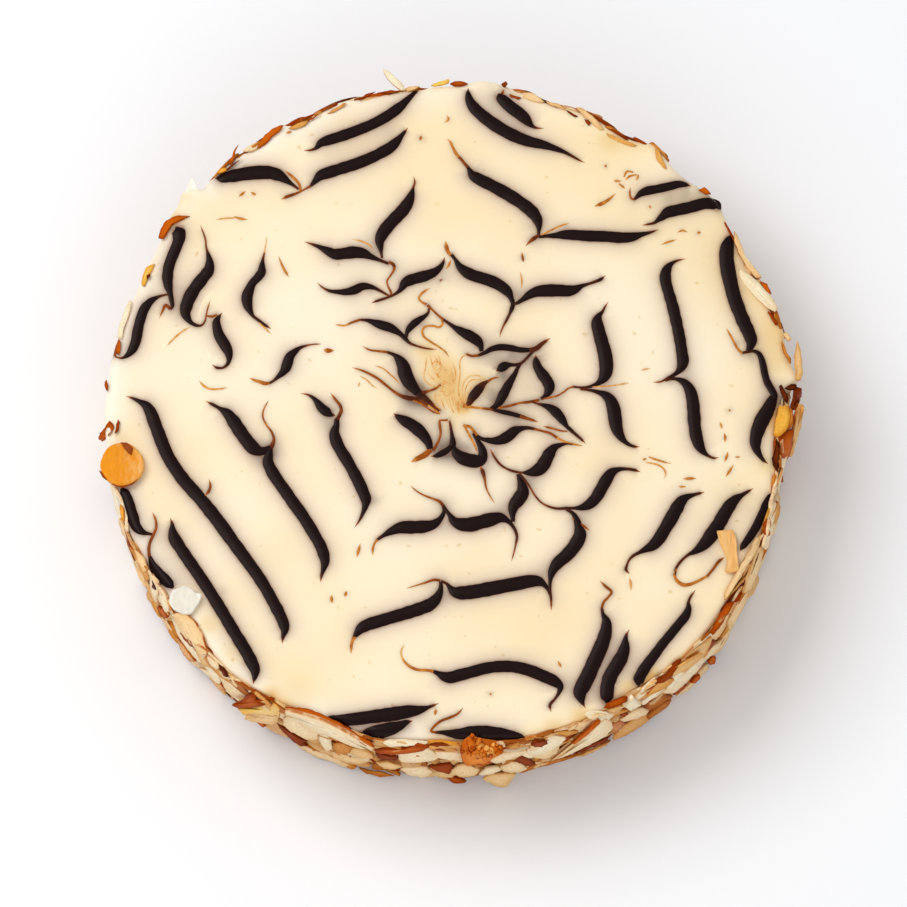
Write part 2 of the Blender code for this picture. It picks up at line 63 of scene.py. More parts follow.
# Each line drawn on the icing: its kind, then x, y and width along it
STROKES = (
    # upper left
    ("dark", (-38, 70.5, 0.5), (-36.4, 70.6, 0.6), (-35, 71.2, 1), (-33.8, 72.5, 2.2), (-32, 73.3, 2.8),
     (-29, 74.3, 3), (-25, 75.8, 3), (-20, 78, 2.9), (-16, 80.4, 2.9), (-13.5, 82.4, 2.6),
     (-11.6, 84.3, 1.8), (-10, 86, 1.2), (-8.3, 87.8, 0.6)),
    ("brown", (-44, 57.1, 0.6), (-42.3, 57.9, 0.9), (-40.3, 58.6, 0.7), (-38.3, 59.6, 0.5),
     (-36.4, 60.7, 0.7)),
    ("dark", (-36.4, 60.7, 0.7), (-35.1, 62.2, 1.6), (-33.8, 63.6, 2.7), (-31.5, 64.5, 3.1),
     (-28, 65.7, 3.2), (-25, 66.7, 3.2), (-21, 68.4, 3.1), (-18, 70, 3.1), (-15.8, 71.4, 3),
     (-14.2, 73, 2.3), (-13, 74.5, 1.4), (-12, 75.8, 0.8), (-11.3, 76.7, 0.4)),
    ("dark", (-61.3, 63.3, 0.5), (-59.5, 63, 2.4), (-57, 63.4, 3.3), (-54, 64, 3.7), (-50, 64.45, 3.8),
     (-46.5, 64.35, 3.6), (-44.3, 63.5, 3), (-42.5, 62.2, 1.7), (-41, 61.1, 0.9), (-39.5, 59.9, 0.6)),
    ("amber", (-43, 65, 0.5), (-41, 63.2, 0.8), (-39.5, 61.5, 0.8), (-39, 60, 0.7), (-39.3, 59, 0.5)),
    ("dark", (-9.8, 63.4, 0.3), (-9.5, 61.8, 0.5), (-9.9, 60.2, 0.7), (-10.4, 58.3, 1.9),
     (-11.2, 56.3, 2.9), (-12.6, 54.1, 3.3), (-14.6, 51.9, 3.3), (-16.4, 49.8, 3.3), (-17.8, 47.7, 3.2),
     (-18.5, 45.7, 2.5), (-18.3, 43.9, 1.5), (-18.1, 42.4, 0.8), (-17.9, 41, 0.6)),
    ("brown", (-16.2, 40, 0.8), (-15, 39.3, 0.9), (-14.8, 38, 0.7), (-15.7, 36.3, 0.5), (-16.6, 34.8, 0.5),
     (-16.4, 33.5, 0.5), (-15.7, 32, 0.6), (-15.5, 31, 0.6)),
    ("dark", (-38, 45.5, 0.3), (-36, 44.8, 0.6), (-34, 44, 1.2), (-32, 43, 2.2), (-30, 42.1, 3),
     (-27.5, 42.3, 3.2), (-25, 42.6, 3.3), (-22.8, 42.3, 2.7), (-21, 41.5, 1.8), (-19.3, 40.8, 1.1),
     (-17.8, 40.2, 0.8), (-16.3, 39.6, 0.8)),
    ("tan", (-25.5, 46.1, 0.5), (-23.5, 45.7, 0.5), (-21.5, 44.8, 0.5), (-20.2, 43.5, 0.4)),
    ("dark", (-34.5, 34.2, 0.4), (-33.2, 33, 0.5), (-31.5, 32.1, 0.8), (-29.5, 31.8, 1.2), (-27, 31.8, 1.9),
     (-25, 32.3, 2.4), (-22.8, 33.3, 2.1), (-20.5, 33.1, 1.3), (-18.5, 32.2, 0.8), (-16.7, 31.1, 0.6),
     (-15.5, 30.5, 0.6)),
    ("dark", (-20.5, 28.8, 0.6), (-19, 29.4, 0.7), (-17, 30.1, 0.7), (-15.3, 30.8, 0.7), (-14, 31.6, 0.9),
     (-13, 32.6, 1.4), (-12, 34.2, 2.4), (-10.5, 35.1, 3), (-8.5, 35.7, 3), (-6.5, 36.3, 2.9),
     (-4.5, 37.2, 2.3), (-3, 38.5, 1.5), (-2.2, 39.8, 0.9), (-1.8, 41.2, 0.6)),
    ("amber", (-1.5, 45.6, 0.9), (-1.3, 44, 1.1), (-0.9, 42.8, 1), (-0.2, 41.8, 0.8)),
    ("amber", (-0.2, 40.5, 0.7), (-0.8, 39, 0.6), (-1.5, 38, 0.4)),
    ("brown", (-2.9, 35.3, 0.6), (-2.6, 34.8, 0.7)),
    ("dark", (0, 42, 0.9), (1, 40.6, 1), (2, 38.9, 1.8), (3.5, 37.5, 2.8), (5.5, 36.4, 3.2), (8, 35.6, 3.2),
     (10.5, 34.7, 3.2), (12.8, 33.4, 3), (14.5, 31.8, 2.4), (15.3, 30.2, 1.4), (15.8, 28.6, 1.2),
     (15.5, 27.3, 1.1), (14.9, 25.8, 0.7), (14.2, 24.3, 0.7), (13.3, 22.5, 0.5), (12.7, 21, 0.4),
     (12.4, 19.5, 0.3)),
    ("amber", (-29.9, 22.9, 0.5), (-27.5, 22.6, 0.5), (-26.5, 23, 0.5)),
    ("brown", (-26.5, 23, 0.5), (-25.5, 23.5, 0.6), (-23.5, 24.2, 0.7)),
    ("dark", (-23.5, 24.2, 0.6), (-21.5, 24, 1), (-19.8, 23.4, 1.8), (-17.8, 22.7, 2.5), (-16, 22.1, 2.5),
     (-14.4, 21.2, 1.9), (-13, 20.2, 1.3), (-12, 19.2, 1.2), (-10.8, 17.9, 0.8), (-9, 17.1, 0.6),
     (-6.5, 16.4, 0.5), (-3.8, 16.1, 0.3)),
    ("dark", (-11.7, 19.3, 0.9), (-11.5, 20.6, 1.1), (-10.8, 21.9, 1.7), (-9.6, 23.2, 1.9),
     (-8.2, 24.3, 1.7), (-6.9, 25.2, 1.1), (-6, 26.2, 0.7), (-5.8, 27.3, 0.6)),
    ("amber", (-5.6, 32.8, 0.6), (-6.8, 32.1, 0.6), (-8, 31, 0.6), (-8.4, 30, 0.6), (-7.7, 29.1, 0.6),
     (-6.5, 28.4, 0.8)),
    ("amber", (-2.5, 24.3, 0.6), (-2.3, 23, 0.6), (-3.2, 22.2, 0.6), (-5, 22.6, 0.6), (-6.8, 22.3, 0.6),
     (-7.5, 21.2, 0.6), (-7.2, 19.8, 0.6), (-5.5, 18.3, 0.6), (-3.5, 17, 0.5), (-1.8, 15.7, 0.5),
     (-0.6, 14, 0.3)),
    # left
    ("dark", (-71, 49.6, 1.6), (-70.4, 48.4, 3.5), (-70.2, 46.6, 3.3), (-70.7, 44.6, 3), (-71.7, 42, 2.9),
     (-72.7, 39, 2.9), (-73.1, 36, 2.9), (-72.9, 33.6, 2.4), (-72.4, 31.5, 1.5), (-72, 29.5, 1.2),
     (-71.8, 28, 1), (-72.2, 26.9, 0.5)),
    ("brown", (-72.3, 27.2, 0.9), (-73.5, 28.1, 0.9), (-74.3, 26.6, 0.6), (-75.1, 24.6, 0.3)),
    ("dark", (-64.7, 49.9, 0.3), (-64, 48, 0.4), (-63.4, 46, 0.5), (-63.2, 44, 0.5), (-62.7, 42, 1),
     (-62.3, 40, 2), (-62.5, 37.8, 2.9), (-64.2, 35.3, 3.2), (-66, 32.8, 3.3), (-67.4, 30.2, 3.4),
     (-68.2, 27.8, 3.2), (-68.4, 26, 2.7), (-67.9, 24.7, 1.9), (-67, 23.5, 1.2), (-65.6, 22.7, 0.9),
     (-64.3, 22.7, 0.6), (-63.4, 23.8, 0.5), (-63.1, 25.4, 0.4), (-62.7, 27.3, 0.4), (-62.1, 29.4, 0.3)),
    ("brown", (-63, 25.3, 0.5), (-61.5, 25.1, 0.7), (-60.3, 25.6, 0.6)),
    ("tan", (-67.3, 22.2, 0.5), (-69.5, 20.8, 0.5), (-71.5, 18.9, 0.5), (-73, 17.2, 0.4)),
    ("dark", (-58.9, 26.2, 0.4), (-59.7, 25.2, 0.9), (-60.4, 23.8, 1.9), (-60.3, 22.2, 2.4),
     (-59.7, 20, 2.7), (-58.3, 17.5, 2.9), (-57.3, 15.4, 2.4), (-57.1, 13.6, 1.4), (-57.5, 12.2, 0.9),
     (-58.6, 11.2, 0.7), (-60.3, 11.2, 0.7), (-61.4, 12, 0.5)),
    ("tan", (-47.6, 47, 0.2), (-47.8, 45, 0.3), (-48.2, 42.5, 0.4)),
    ("dark", (-48.2, 42.5, 0.4), (-48.6, 40.5, 0.8), (-48.8, 38.8, 1.6), (-48.9, 37.2, 2.3),
     (-49.8, 35.8, 2.3), (-51.2, 34.2, 2.1), (-52, 32.4, 2.5), (-52.6, 30.4, 2.9), (-52.4, 28.2, 2.5),
     (-51.8, 26.6, 1.6), (-51, 25.2, 0.9), (-49.8, 24.2, 0.8), (-48.3, 23, 0.8), (-46.5, 21.8, 0.7)),
    ("tan", (-49.5, 23.4, 0.4), (-47.5, 21.5, 0.5), (-46.3, 20.2, 0.3)),
    ("dark", (-72.5, 31.2, 0.6), (-74, 30.9, 0.6), (-75.5, 30.4, 0.9), (-77.3, 29.3, 1.8),
     (-78.9, 27.3, 2.5), (-79.9, 24.5, 2.6), (-80.6, 21.5, 2.7), (-81.1, 18.5, 2.7), (-81.8, 16.5, 2.4),
     (-82.9, 14.9, 1.6), (-84.3, 13.9, 0.8), (-85.5, 13.9, 0.5), (-86.4, 14.4, 0.5)),
    ("brown", (-86.5, 14.5, 0.7), (-86.2, 16, 0.8), (-85.8, 17.5, 0.8), (-85.6, 19, 0.5)),
    ("dark", (-33.6, 17.6, 0.5), (-35.5, 17.5, 0.4), (-37.5, 17.1, 0.6), (-39, 16.5, 1), (-40.3, 15.5, 1.7),
     (-41.5, 14.2, 2.4), (-42, 12.8, 2.7), (-42.5, 11.2, 2.6), (-43.3, 9.9, 1.9), (-44.6, 8.6, 1.1),
     (-45.7, 7.6, 0.7), (-46.7, 7, 0.7)),
    ("amber", (-46.7, 7, 0.7), (-47.8, 6.9, 1.1), (-49.3, 7.4, 0.9), (-50.8, 7.9, 0.7), (-51.9, 8.4, 0.4)),
    # lower left
    ("dark", (-83.5, 3.5, 0.3), (-81.8, 2.9, 0.7), (-80, 2, 1.3), (-78.4, 1, 2.3), (-77.2, -0.8, 3.1),
     (-76.2, -3.5, 3.3), (-75.1, -6.5, 3.4), (-74, -9.5, 3.4), (-72.6, -12.8, 3.4), (-70.7, -16, 3.4),
     (-68.5, -19.2, 3.4), (-66.3, -21.8, 3.4), (-63.8, -24.8, 3.4), (-61.1, -28.3, 3.5),
     (-58.7, -31.6, 3.5), (-56.4, -35, 3.4), (-54, -38.4, 3.3), (-51.6, -41.8, 3.2), (-49.4, -45, 3.2),
     (-47.4, -48.3, 3.1), (-45.6, -51.7, 3.1), (-43.9, -55, 3), (-42.8, -57.7, 2.8), (-42.5, -59.5, 2.1),
     (-42.9, -61.2, 1), (-43.1, -63, 0.5)),
    ("brown", (-62.1, -18.9, 0.4), (-61.7, -20.5, 0.6), (-62, -22, 0.8), (-63, -23.4, 1)),
    ("dark", (-63, 2.1, 0.4), (-61.3, 1.2, 0.8), (-59.4, 0.1, 1.1), (-57.6, -1.1, 2.4), (-56.1, -3, 3.3),
     (-54.4, -5.7, 3.5), (-52.5, -8.5, 3.6), (-50.6, -10.7, 3.4), (-49, -11.4, 2.5), (-47.5, -11.1, 1.9),
     (-46.4, -10.4, 1.4)),
    ("brown", (-47, 2.2, 0.4), (-48.1, 0, 0.4), (-48.4, -2, 0.5), (-47.5, -4.2, 0.5), (-46.1, -6.2, 0.6),
     (-45.5, -8.3, 0.8), (-46, -9.9, 1.2), (-46.6, -11, 1.3)),
    ("dark", (-46.4, -10.6, 1.2), (-46.7, -12.2, 2), (-47, -14.2, 2.8), (-46, -16.8, 3.2),
     (-44.3, -19.6, 3.2), (-42.4, -22.4, 3.2), (-40.5, -25.3, 3.2), (-38.4, -28.3, 3.2),
     (-36.6, -31.2, 3.2), (-34.9, -34.2, 3.1), (-33.4, -37, 3), (-32.6, -39.4, 2.9), (-32.3, -41.2, 2.3),
     (-32.7, -43.2, 1.3), (-33.2, -45, 0.7), (-33.4, -46.6, 0.5)),
    ("dark", (-38.8, 4.2, 0.3), (-37, 3.9, 0.5), (-35.6, 3.1, 0.9), (-34.4, 1.8, 1.7), (-33.3, 0.3, 2.4),
     (-32, -0.8, 2.4), (-31, -1.5, 1.5), (-29.8, -1.8, 1)),
    ("brown", (-31, 4.3, 0.4), (-29.8, 2.6, 0.7), (-28.5, 0.8, 0.8), (-28.3, -0.6, 0.9), (-28.8, -1.8, 1),
     (-29.5, -3.2, 1.3)),
    ("dark", (-29.4, -2.8, 1.3), (-29.5, -4.4, 1.6), (-30, -6.4, 2.6), (-29.5, -8.8, 3.1),
     (-28.3, -11.3, 3.1), (-26.8, -13.8, 3.1), (-25.3, -16.6, 3), (-23.8, -19.6, 3.1), (-22.6, -22.4, 3.1),
     (-21.9, -24.5, 2.7), (-22.1, -26.4, 1.7), (-22.7, -28.2, 1), (-23.5, -30, 0.6), (-24.8, -32, 0.3)),
    ("dark", (-71.9, -29.4, 0.4), (-71.4, -31, 0.9), (-71.3, -32.8, 2), (-70.8, -34.8, 3.1),
     (-69.3, -37.4, 3.2), (-67.3, -40.5, 3.2), (-65.1, -43.8, 3.2), (-62.9, -47.2, 3.2),
     (-60.7, -50.8, 3.2), (-58.5, -54.5, 3.2), (-56.4, -58.2, 3.2), (-54.3, -61.8, 3.2),
     (-52.3, -65.2, 3.2), (-50.8, -68.2, 3.1), (-50, -70.3, 2.6), (-50.1, -72.2, 1.3), (-50.5, -73.8, 0.5)),
    ("dark", (-84.4, -21.3, 2.4), (-83, -24, 2.7), (-82, -27, 2.8), (-81.3, -29.6, 2.9),
     (-80.6, -31.6, 2.7), (-79.3, -33, 1.9), (-77.8, -33.6, 1), (-76.5, -33.8, 0.7)),
    ("brown", (-76.4, -28, 0.5), (-75.6, -30, 0.6), (-75.5, -32.2, 0.7), (-76.2, -34, 0.8), (-77, -36, 0.8),
     (-77.3, -38, 0.8), (-77.1, -39.8, 0.9)),
    ("dark", (-77, -39.8, 0.9), (-76.5, -41.4, 1.6), (-75.5, -43.2, 2.4), (-74, -45, 2.7),
     (-72.4, -46.6, 2.6), (-71, -48.2, 2.4)),
    ("amber", (-20.1, -39.3, 0.7), (-20.1, -37.8, 0.7), (-19.7, -36.3, 0.6), (-18.9, -35.2, 0.7)),
    ("dark", (-18.9, -35.2, 0.7), (-17, -33.9, 1.2), (-15, -32.8, 2.3), (-12.8, -32, 3.2),
     (-9.5, -31.9, 3.5), (-6.8, -31.7, 3.3), (-4.8, -31.2, 2.6), (-3.4, -30.2, 1.8), (-2.4, -28.9, 1.2),
     (-1.9, -27.6, 1), (-2, -26.3, 0.9)),
    ("brown", (-2, -26.3, 0.9), (-3, -25, 0.8), (-4.8, -24.2, 0.6), (-7, -23.3, 0.5), (-9, -22.1, 0.4),
     (-10.5, -20.7, 0.3)),
    ("amber", (-25.6, -65.7, 0.6), (-25.5, -63.5, 0.8), (-25.1, -62, 0.9), (-24.5, -61, 1.1)),
    ("dark", (-24.8, -61.4, 0.9), (-24.4, -60.8, 1.4), (-23.2, -59.2, 2.6), (-21.5, -58.1, 3.2),
     (-18.5, -57.1, 3.3), (-15, -56, 3.3), (-11.5, -54.9, 3.4), (-8, -53.7, 3.5), (-5.5, -52.6, 3.3),
     (-4, -51.2, 2.7), (-3.1, -49.6, 1.9), (-2.7, -48, 1.2), (-2.8, -46.5, 0.8)),
    ("brown", (-2.9, -46.2, 0.7), (-4.5, -46, 0.7), (-6.5, -46.7, 0.6), (-9, -47.5, 0.4),
     (-11.5, -48.3, 0.3)),
    ("dark", (-32, -82.6, 0.9), (-29, -83.2, 2.2), (-25, -83.2, 3.2), (-20, -82.6, 3.6), (-15, -81.9, 3.7),
     (-11, -81.2, 3.4), (-8.3, -80.8, 2.4), (-6, -80.1, 1.1), (-3.3, -79, 0.4)),
    ("dark", (-24, -87.5, 1.2), (-21.5, -87.2, 3), (-18, -86.4, 3.7), (-15, -85.6, 3.4), (-13, -84.9, 2.4),
     (-11.5, -84.1, 1.4), (-10, -83.7, 0.8)),
    # lower right
    ("dark", (-2, -26.4, 0.9), (-1.2, -27.6, 1), (-0.3, -28.9, 1.4), (0.6, -30.2, 2.4), (2.2, -31, 3.4),
     (4.5, -31.2, 3.8), (7.5, -30.5, 3.8), (10, -29.8, 3.7), (12.3, -29.3, 2.8), (14, -29.9, 1.6),
     (15.3, -31.1, 1), (16.3, -32.8, 0.8), (16.7, -34.5, 0.7), (16.4, -36.5, 0.5), (15.9, -38.8, 0.4),
     (15.3, -41, 0.3)),
    ("dark", (-2.7, -46.4, 0.8), (-1.3, -47, 0.8), (-0.4, -48.1, 1.4), (0.6, -49.1, 2.6), (2.3, -49.5, 3.6),
     (5, -49.3, 3.8), (9, -48.6, 3.8), (13, -47.8, 3.7), (17, -47, 3.6), (20, -46.4, 3.5), (22, -46.4, 2.8),
     (23.5, -47.2, 1.6), (24.6, -48.6, 1), (25.2, -50, 0.8)),
    ("tan", (-12, -63.3, 0.4), (-12.8, -65, 0.5), (-12.7, -66.5, 0.5), (-12, -67.9, 0.6)),
    ("amber", (-12, -67.9, 0.6), (-10.5, -69.3, 0.8), (-8.5, -70.1, 0.8), (-6.3, -70.2, 0.8),
     (-4.6, -70.5, 0.9)),
    ("dark", (-4.6, -70.5, 0.9), (-3.3, -71.1, 1.4), (-2, -71.8, 2.4), (-0.3, -72.1, 3.2), (2, -71.5, 3.2),
     (5, -70.7, 3.1), (8.5, -69.7, 3.1), (12, -69.2, 3.1), (16, -69.3, 3.1), (20, -70.3, 3.2),
     (23.5, -71.8, 3.2), (26.3, -73.2, 2.9), (27.6, -74.6, 1.9), (27.3, -76.2, 1), (26.3, -77.8, 0.7),
     (25, -79.5, 0.8), (25.3, -81.2, 0.5)),
    ("brown", (2.9, -80.2, 0.4), (1.5, -81.8, 0.6), (-0.5, -82.8, 0.7), (-2.7, -83.7, 0.7),
     (-4.3, -85, 0.7), (-5.2, -86.4, 0.6), (-4, -86.7, 0.7)),
    ("dark", (-4, -86.7, 0.7), (-2.2, -86.7, 1.1), (-0.5, -86.9, 1.8), (2, -87, 2.7), (5, -86.7, 3.4),
     (8, -86.6, 3.5), (11, -86.8, 3.3), (14, -87.2, 2.7), (17, -87.6, 1.6), (19, -87.8, 0.5)),
    ("dark", (17, -17.6, 0.9), (17.4, -19, 1.3), (18, -20.6, 2.4), (18.2, -22.4, 3.3), (17.2, -24.3, 3.6),
     (16, -26, 3.1), (15.6, -27.6, 2.1), (15.6, -29, 1.4), (15.7, -30.4, 1)),
    ("dark", (9.9, -10.8, 0.4), (11, -13, 0.6), (12.5, -15, 0.6), (14.3, -16.2, 0.6), (16.2, -16.9, 0.7),
     (18.3, -17.2, 0.7), (19.8, -17.2, 1.8), (21.5, -16.8, 3), (23, -15.8, 3.5), (24.1, -14, 3.3),
     (25.1, -12, 3.1), (26.3, -10.5, 2), (27.8, -9.8, 1.2), (29.5, -9.4, 0.7), (31, -9.5, 0.6)),
    ("dark", (17.3, -17.6, 0.9), (18.6, -19, 0.7), (20, -21, 0.5), (21.3, -23.3, 0.5), (23, -25.3, 0.5),
     (25, -26.4, 0.6), (27, -26.9, 0.7), (29.5, -26.8, 0.8), (31.5, -26.8, 0.9), (33.3, -26.6, 1.7),
     (35.3, -25.7, 2.7), (37, -23.9, 3.1), (38.3, -21.6, 3.1), (39.6, -19.2, 3.1), (40.9, -17.3, 2.5),
     (42.6, -16.4, 1.4), (44.5, -16.2, 0.9), (46.8, -16.5, 0.8), (48.3, -17, 0.5)),
    ("dark", (29.3, -27.1, 0.7), (30.8, -28, 1), (31.8, -29.5, 1.5), (32.5, -32, 2.3), (32.8, -34, 3.3),
     (31.5, -36.8, 3.6), (29.3, -39.5, 3.4), (27.2, -41.4, 3.2), (25.8, -43.5, 2.3), (25.3, -45.3, 1.4),
     (25.1, -47, 0.9), (25.1, -49, 0.8), (25.4, -51.5, 0.6), (25.4, -54.2, 0.4)),
    ("brown", (31, -29.5, 0.6), (33, -31, 0.6), (34.5, -32.2, 0.6), (35.4, -32.9, 0.4)),
    ("dark", (45.4, -44.4, 0.6), (44.5, -43.3, 0.8), (44.8, -42, 0.6), (45.3, -40.8, 0.6),
     (46.4, -39.6, 0.8), (48, -38.7, 1), (49.7, -37.8, 1.8), (51.3, -36.9, 2.7), (52.8, -35.3, 3.2),
     (54.4, -32.6, 3.3), (56, -29.8, 3.4), (57.5, -27, 3.4), (58.7, -25, 2.8), (60, -23.9, 1.9),
     (61.6, -23.3, 1.1), (63, -22.9, 0.8), (64.6, -22.5, 0.6)),
    ("dark", (77.2, -21.4, 0.4), (75.6, -22.4, 0.8), (74, -23.4, 1.4), (72.6, -24.4, 2.4), (71.2, -26, 3.2),
     (69.6, -28.6, 3.5), (68.2, -31.2, 3.6), (66.6, -33.6, 3.6), (65, -35.9, 3.2), (63.4, -37.5, 2.5),
     (62, -38.5, 1.5), (60.5, -39.3, 0.8), (58.6, -41, 0.7), (57.3, -43, 0.7), (56.9, -44.8, 0.7)),
    ("amber", (57.3, -43, 0.7), (56.9, -44.8, 0.7), (57.6, -46.4, 0.9), (59.2, -47.4, 1.1),
     (61, -47.2, 0.9), (63, -46.3, 0.8), (65.3, -45, 0.7)),
    ("brown", (65.3, -45, 0.7), (66.7, -43.2, 0.7), (68.3, -41, 0.8), (69.6, -40, 0.7)),
    ("dark", (82.2, -22, 0.6), (81.4, -23.5, 1.4), (80.4, -25.6, 1.9), (79.5, -28, 2.1), (78.5, -30.3, 2.2),
     (77.2, -32.8, 2.2), (75.8, -35, 2), (74.4, -37, 1.6), (73.7, -38.1, 1.2)),
    ("brown", (37.8, -46.2, 0.3), (39.2, -47.7, 0.7), (40.8, -49.3, 0.7), (40, -50.6, 0.6),
     (38.8, -52, 0.7), (38.3, -53.6, 0.7)),
    ("dark", (38.3, -53.6, 0.7), (38.6, -55.2, 1), (39.4, -57, 2.2), (39.4, -59.2, 3.2), (38.8, -61.8, 3.6),
     (37.6, -65, 3.8), (36.2, -68.2, 3.9), (34.9, -71.3, 3.9), (33.5, -74.2, 4), (32.7, -76, 3.6),
     (32.9, -77.5, 2.4), (33.3, -78.8, 1.2), (34, -80.2, 0.5)),
    ("dark", (45.3, -59.4, 0.4), (44.6, -60.6, 0.7), (44.3, -62, 1.4), (44.1, -64, 2.5), (43.4, -66.4, 3.4),
     (42, -69, 3.7), (40.5, -71.6, 3.7), (39.7, -74.2, 3.6), (39.5, -76.6, 3.6), (39.6, -78.8, 3)),
    ("dark", (62.2, -48.8, 0.4), (61, -50.5, 0.6), (60.4, -52, 0.8), (60.4, -53.6, 1.6), (59.7, -55.6, 2.3),
     (58, -57.8, 2.4), (55.8, -60.6, 2.4), (53.6, -63.4, 2.5), (51.5, -66.4, 2.6), (49.6, -69, 2.8),
     (48.2, -71.3, 2.9), (47.5, -73, 2.6), (47.4, -74.2, 1.6)),
    # right
    ("dark", (60.3, 40.8, 0.3), (58.6, 40.5, 0.5), (57, 39.8, 1), (55.8, 38.6, 2), (55.1, 36.8, 2.8),
     (55.1, 34.8, 3), (55.8, 31.8, 3), (56.7, 28.5, 3), (57.5, 25, 3.1), (58.2, 21.5, 3), (58.8, 18, 3),
     (59.2, 15, 3.1), (59.4, 12.8, 3.1), (58.9, 11.2, 2.3), (57.9, 9.9, 1.3), (56.7, 9, 1),
     (55.3, 8.3, 0.7), (53.6, 7.4, 0.5), (51.7, 7.3, 0.4)),
    ("dark", (54.8, 7.6, 0.5), (56.5, 8.2, 0.8), (58.2, 8, 1.2), (59.9, 7, 2.1), (61.1, 5.2, 2.9),
     (61.8, 2.5, 3.2), (62.1, -1, 3.3), (62.3, -4.5, 3.3), (62.8, -7.8, 3.2), (63.6, -10.2, 2.6),
     (64.6, -11.7, 1.5), (65.8, -12.7, 0.8), (67.2, -13.3, 0.6), (68.5, -13.1, 0.4)),
    ("dark", (72.1, 47.7, 1), (71.7, 46.2, 2.4), (71, 44, 3.5), (70.8, 41, 3.9), (71.2, 37.5, 3.9),
     (71.9, 33.8, 3.8), (72.7, 30.3, 3.7), (73.8, 27, 3.7), (75.1, 23.6, 3.6), (76.4, 20.6, 3.4),
     (77, 18.4, 3), (76.7, 16.8, 2), (76.2, 15.7, 1.2)),
    ("amber", (70.6, 21.9, 0.4), (71.6, 20, 0.6), (72.6, 18, 0.6), (73.7, 16, 0.7), (74.7, 15.2, 0.7)),
    ("dark", (74.7, 15.2, 0.7), (76, 15.5, 0.8), (77.6, 15.7, 0.9), (78.8, 15.1, 1.3), (79.5, 13.8, 1.6),
     (80, 11.8, 1.8), (80.4, 9.5, 1.9), (81, 7.3, 1.9), (82, 5.4, 1.9), (82.7, 3.9, 1.9), (82.6, 3.1, 2.2)),
    ("dark", (82.6, 3.2, 2.2), (81.9, 1.6, 2.9), (80.9, -0.6, 3.6), (79.6, -3, 3.8), (78.5, -5.8, 3.6),
     (77.9, -8.3, 3.1), (78, -10.5, 2.4), (78.8, -12.3, 1.5), (79.8, -13.8, 0.9), (81, -14.8, 0.6)),
    ("dark", (40.3, 29.1, 0.3), (39.5, 27.8, 0.5), (38.8, 26.4, 0.8), (37.9, 25.3, 1.6), (37.4, 23.6, 2.9),
     (37.8, 21.3, 3.3), (38.5, 18.5, 3.5), (39.3, 15.3, 3.6), (39.7, 12.3, 3.7), (39.6, 10, 3.4),
     (38.9, 8.3, 2.6), (37.6, 7, 1.4), (36, 6.2, 0.9), (33.8, 5.8, 0.7), (31.3, 6, 0.6)),
    ("brown", (31.3, 6, 0.6), (30, 5.6, 0.5), (28.8, 4.6, 0.5), (27.2, 3.6, 0.5), (25.3, 3.1, 0.5),
     (23.2, 2.8, 0.7)),
    ("tan", (36, 6, 0.4), (40, 6.2, 0.4), (43, 6.6, 0.4), (45.4, 7.1, 0.6)),
    ("dark", (33, 5.3, 0.5), (35.5, 5.1, 0.8), (37.5, 4.6, 1.2), (39.2, 3.9, 2), (40.6, 2.6, 3),
     (41.5, 0.3, 3.5), (41.9, -2.5, 3.5), (42.3, -5, 3.2), (43.1, -7, 2.4), (44.3, -8.7, 1.4),
     (45.8, -9.8, 0.9), (47.2, -10.2, 0.7), (48.3, -10.2, 0.4)),
    # upper right
    ("dark", (22.5, 46.9, 0.9), (24.5, 47.1, 1), (26.5, 47.2, 1.5), (28.5, 47.4, 2.3), (31, 47.4, 2.8),
     (35, 47.1, 3), (40, 46.9, 3), (43.5, 46.6, 3), (46.5, 46.8, 2.5), (49, 47.5, 1.4), (51, 48, 0.8),
     (53.3, 48.8, 0.4)),
    ("brown", (22.5, 47.3, 0.9), (21.2, 46.4, 1.1), (20.1, 45.5, 0.7), (19.1, 44.4, 0.5)),
    ("brown", (18.1, 42.6, 0.5), (18.5, 40, 0.7)),
    ("amber", (17.7, 37.2, 0.4), (18.1, 35, 0.4), (18, 32.8, 0.3)),
    ("amber", (23, 47.3, 0.5), (25.5, 48.6, 0.5), (28, 49.8, 0.5), (30.3, 50.6, 0.4)),
    ("amber", (-1, 73.6, 0.5), (-0.3, 72.8, 0.7), (0.4, 71.2, 0.7), (1.2, 69.6, 0.9), (1.9, 68.7, 0.7)),
    ("brown", (1.9, 68.7, 0.8), (2.4, 68.2, 0.8), (3.3, 67, 0.8), (4.3, 65.8, 1)),
    ("dark", (4.3, 65.8, 0.9), (4.9, 64.6, 1.6), (5.4, 63.8, 2.4), (7, 62.7, 3.2), (10, 61.1, 3.3),
     (13, 59.4, 3.4), (16, 57.5, 3.4), (19, 55.3, 3.4), (21, 53.4, 3.3), (22.1, 51.6, 2.7),
     (22.5, 49.9, 1.7), (22.5, 48.6, 1), (22.4, 47.4, 0.8)),
    ("dark", (4.3, 87.6, 0.6), (4.3, 86, 1.5), (4.8, 84, 2.5), (6, 82.1, 3), (8, 80.1, 3.3),
     (10.3, 78.2, 3.4), (13.2, 76.2, 3.4), (16.5, 74.4, 3.3), (20, 73, 3), (23.5, 72.1, 2.4),
     (26.5, 71.1, 1.7), (29, 70.1, 1.1), (31, 69, 0.8), (33, 67.8, 0.5), (34.4, 67.1, 0.3)),
    ("dark", (12.2, 86.2, 0.5), (12.6, 85.2, 2.4), (13.8, 83.9, 3.2), (15.6, 82.2, 3.4), (17.4, 80.8, 3.4),
     (18.9, 79.4, 3), (20, 78.1, 2), (20.9, 77.2, 1.1), (22, 76.7, 0.6), (23.8, 76.6, 0.4)),
    ("brown", (13, 86, 0.8), (13.6, 87.4, 0.4)),
    ("brown", (46.1, 60.3, 0.4), (46, 58.5, 0.5), (46.4, 57.3, 0.6), (47.2, 57.1, 0.7)),
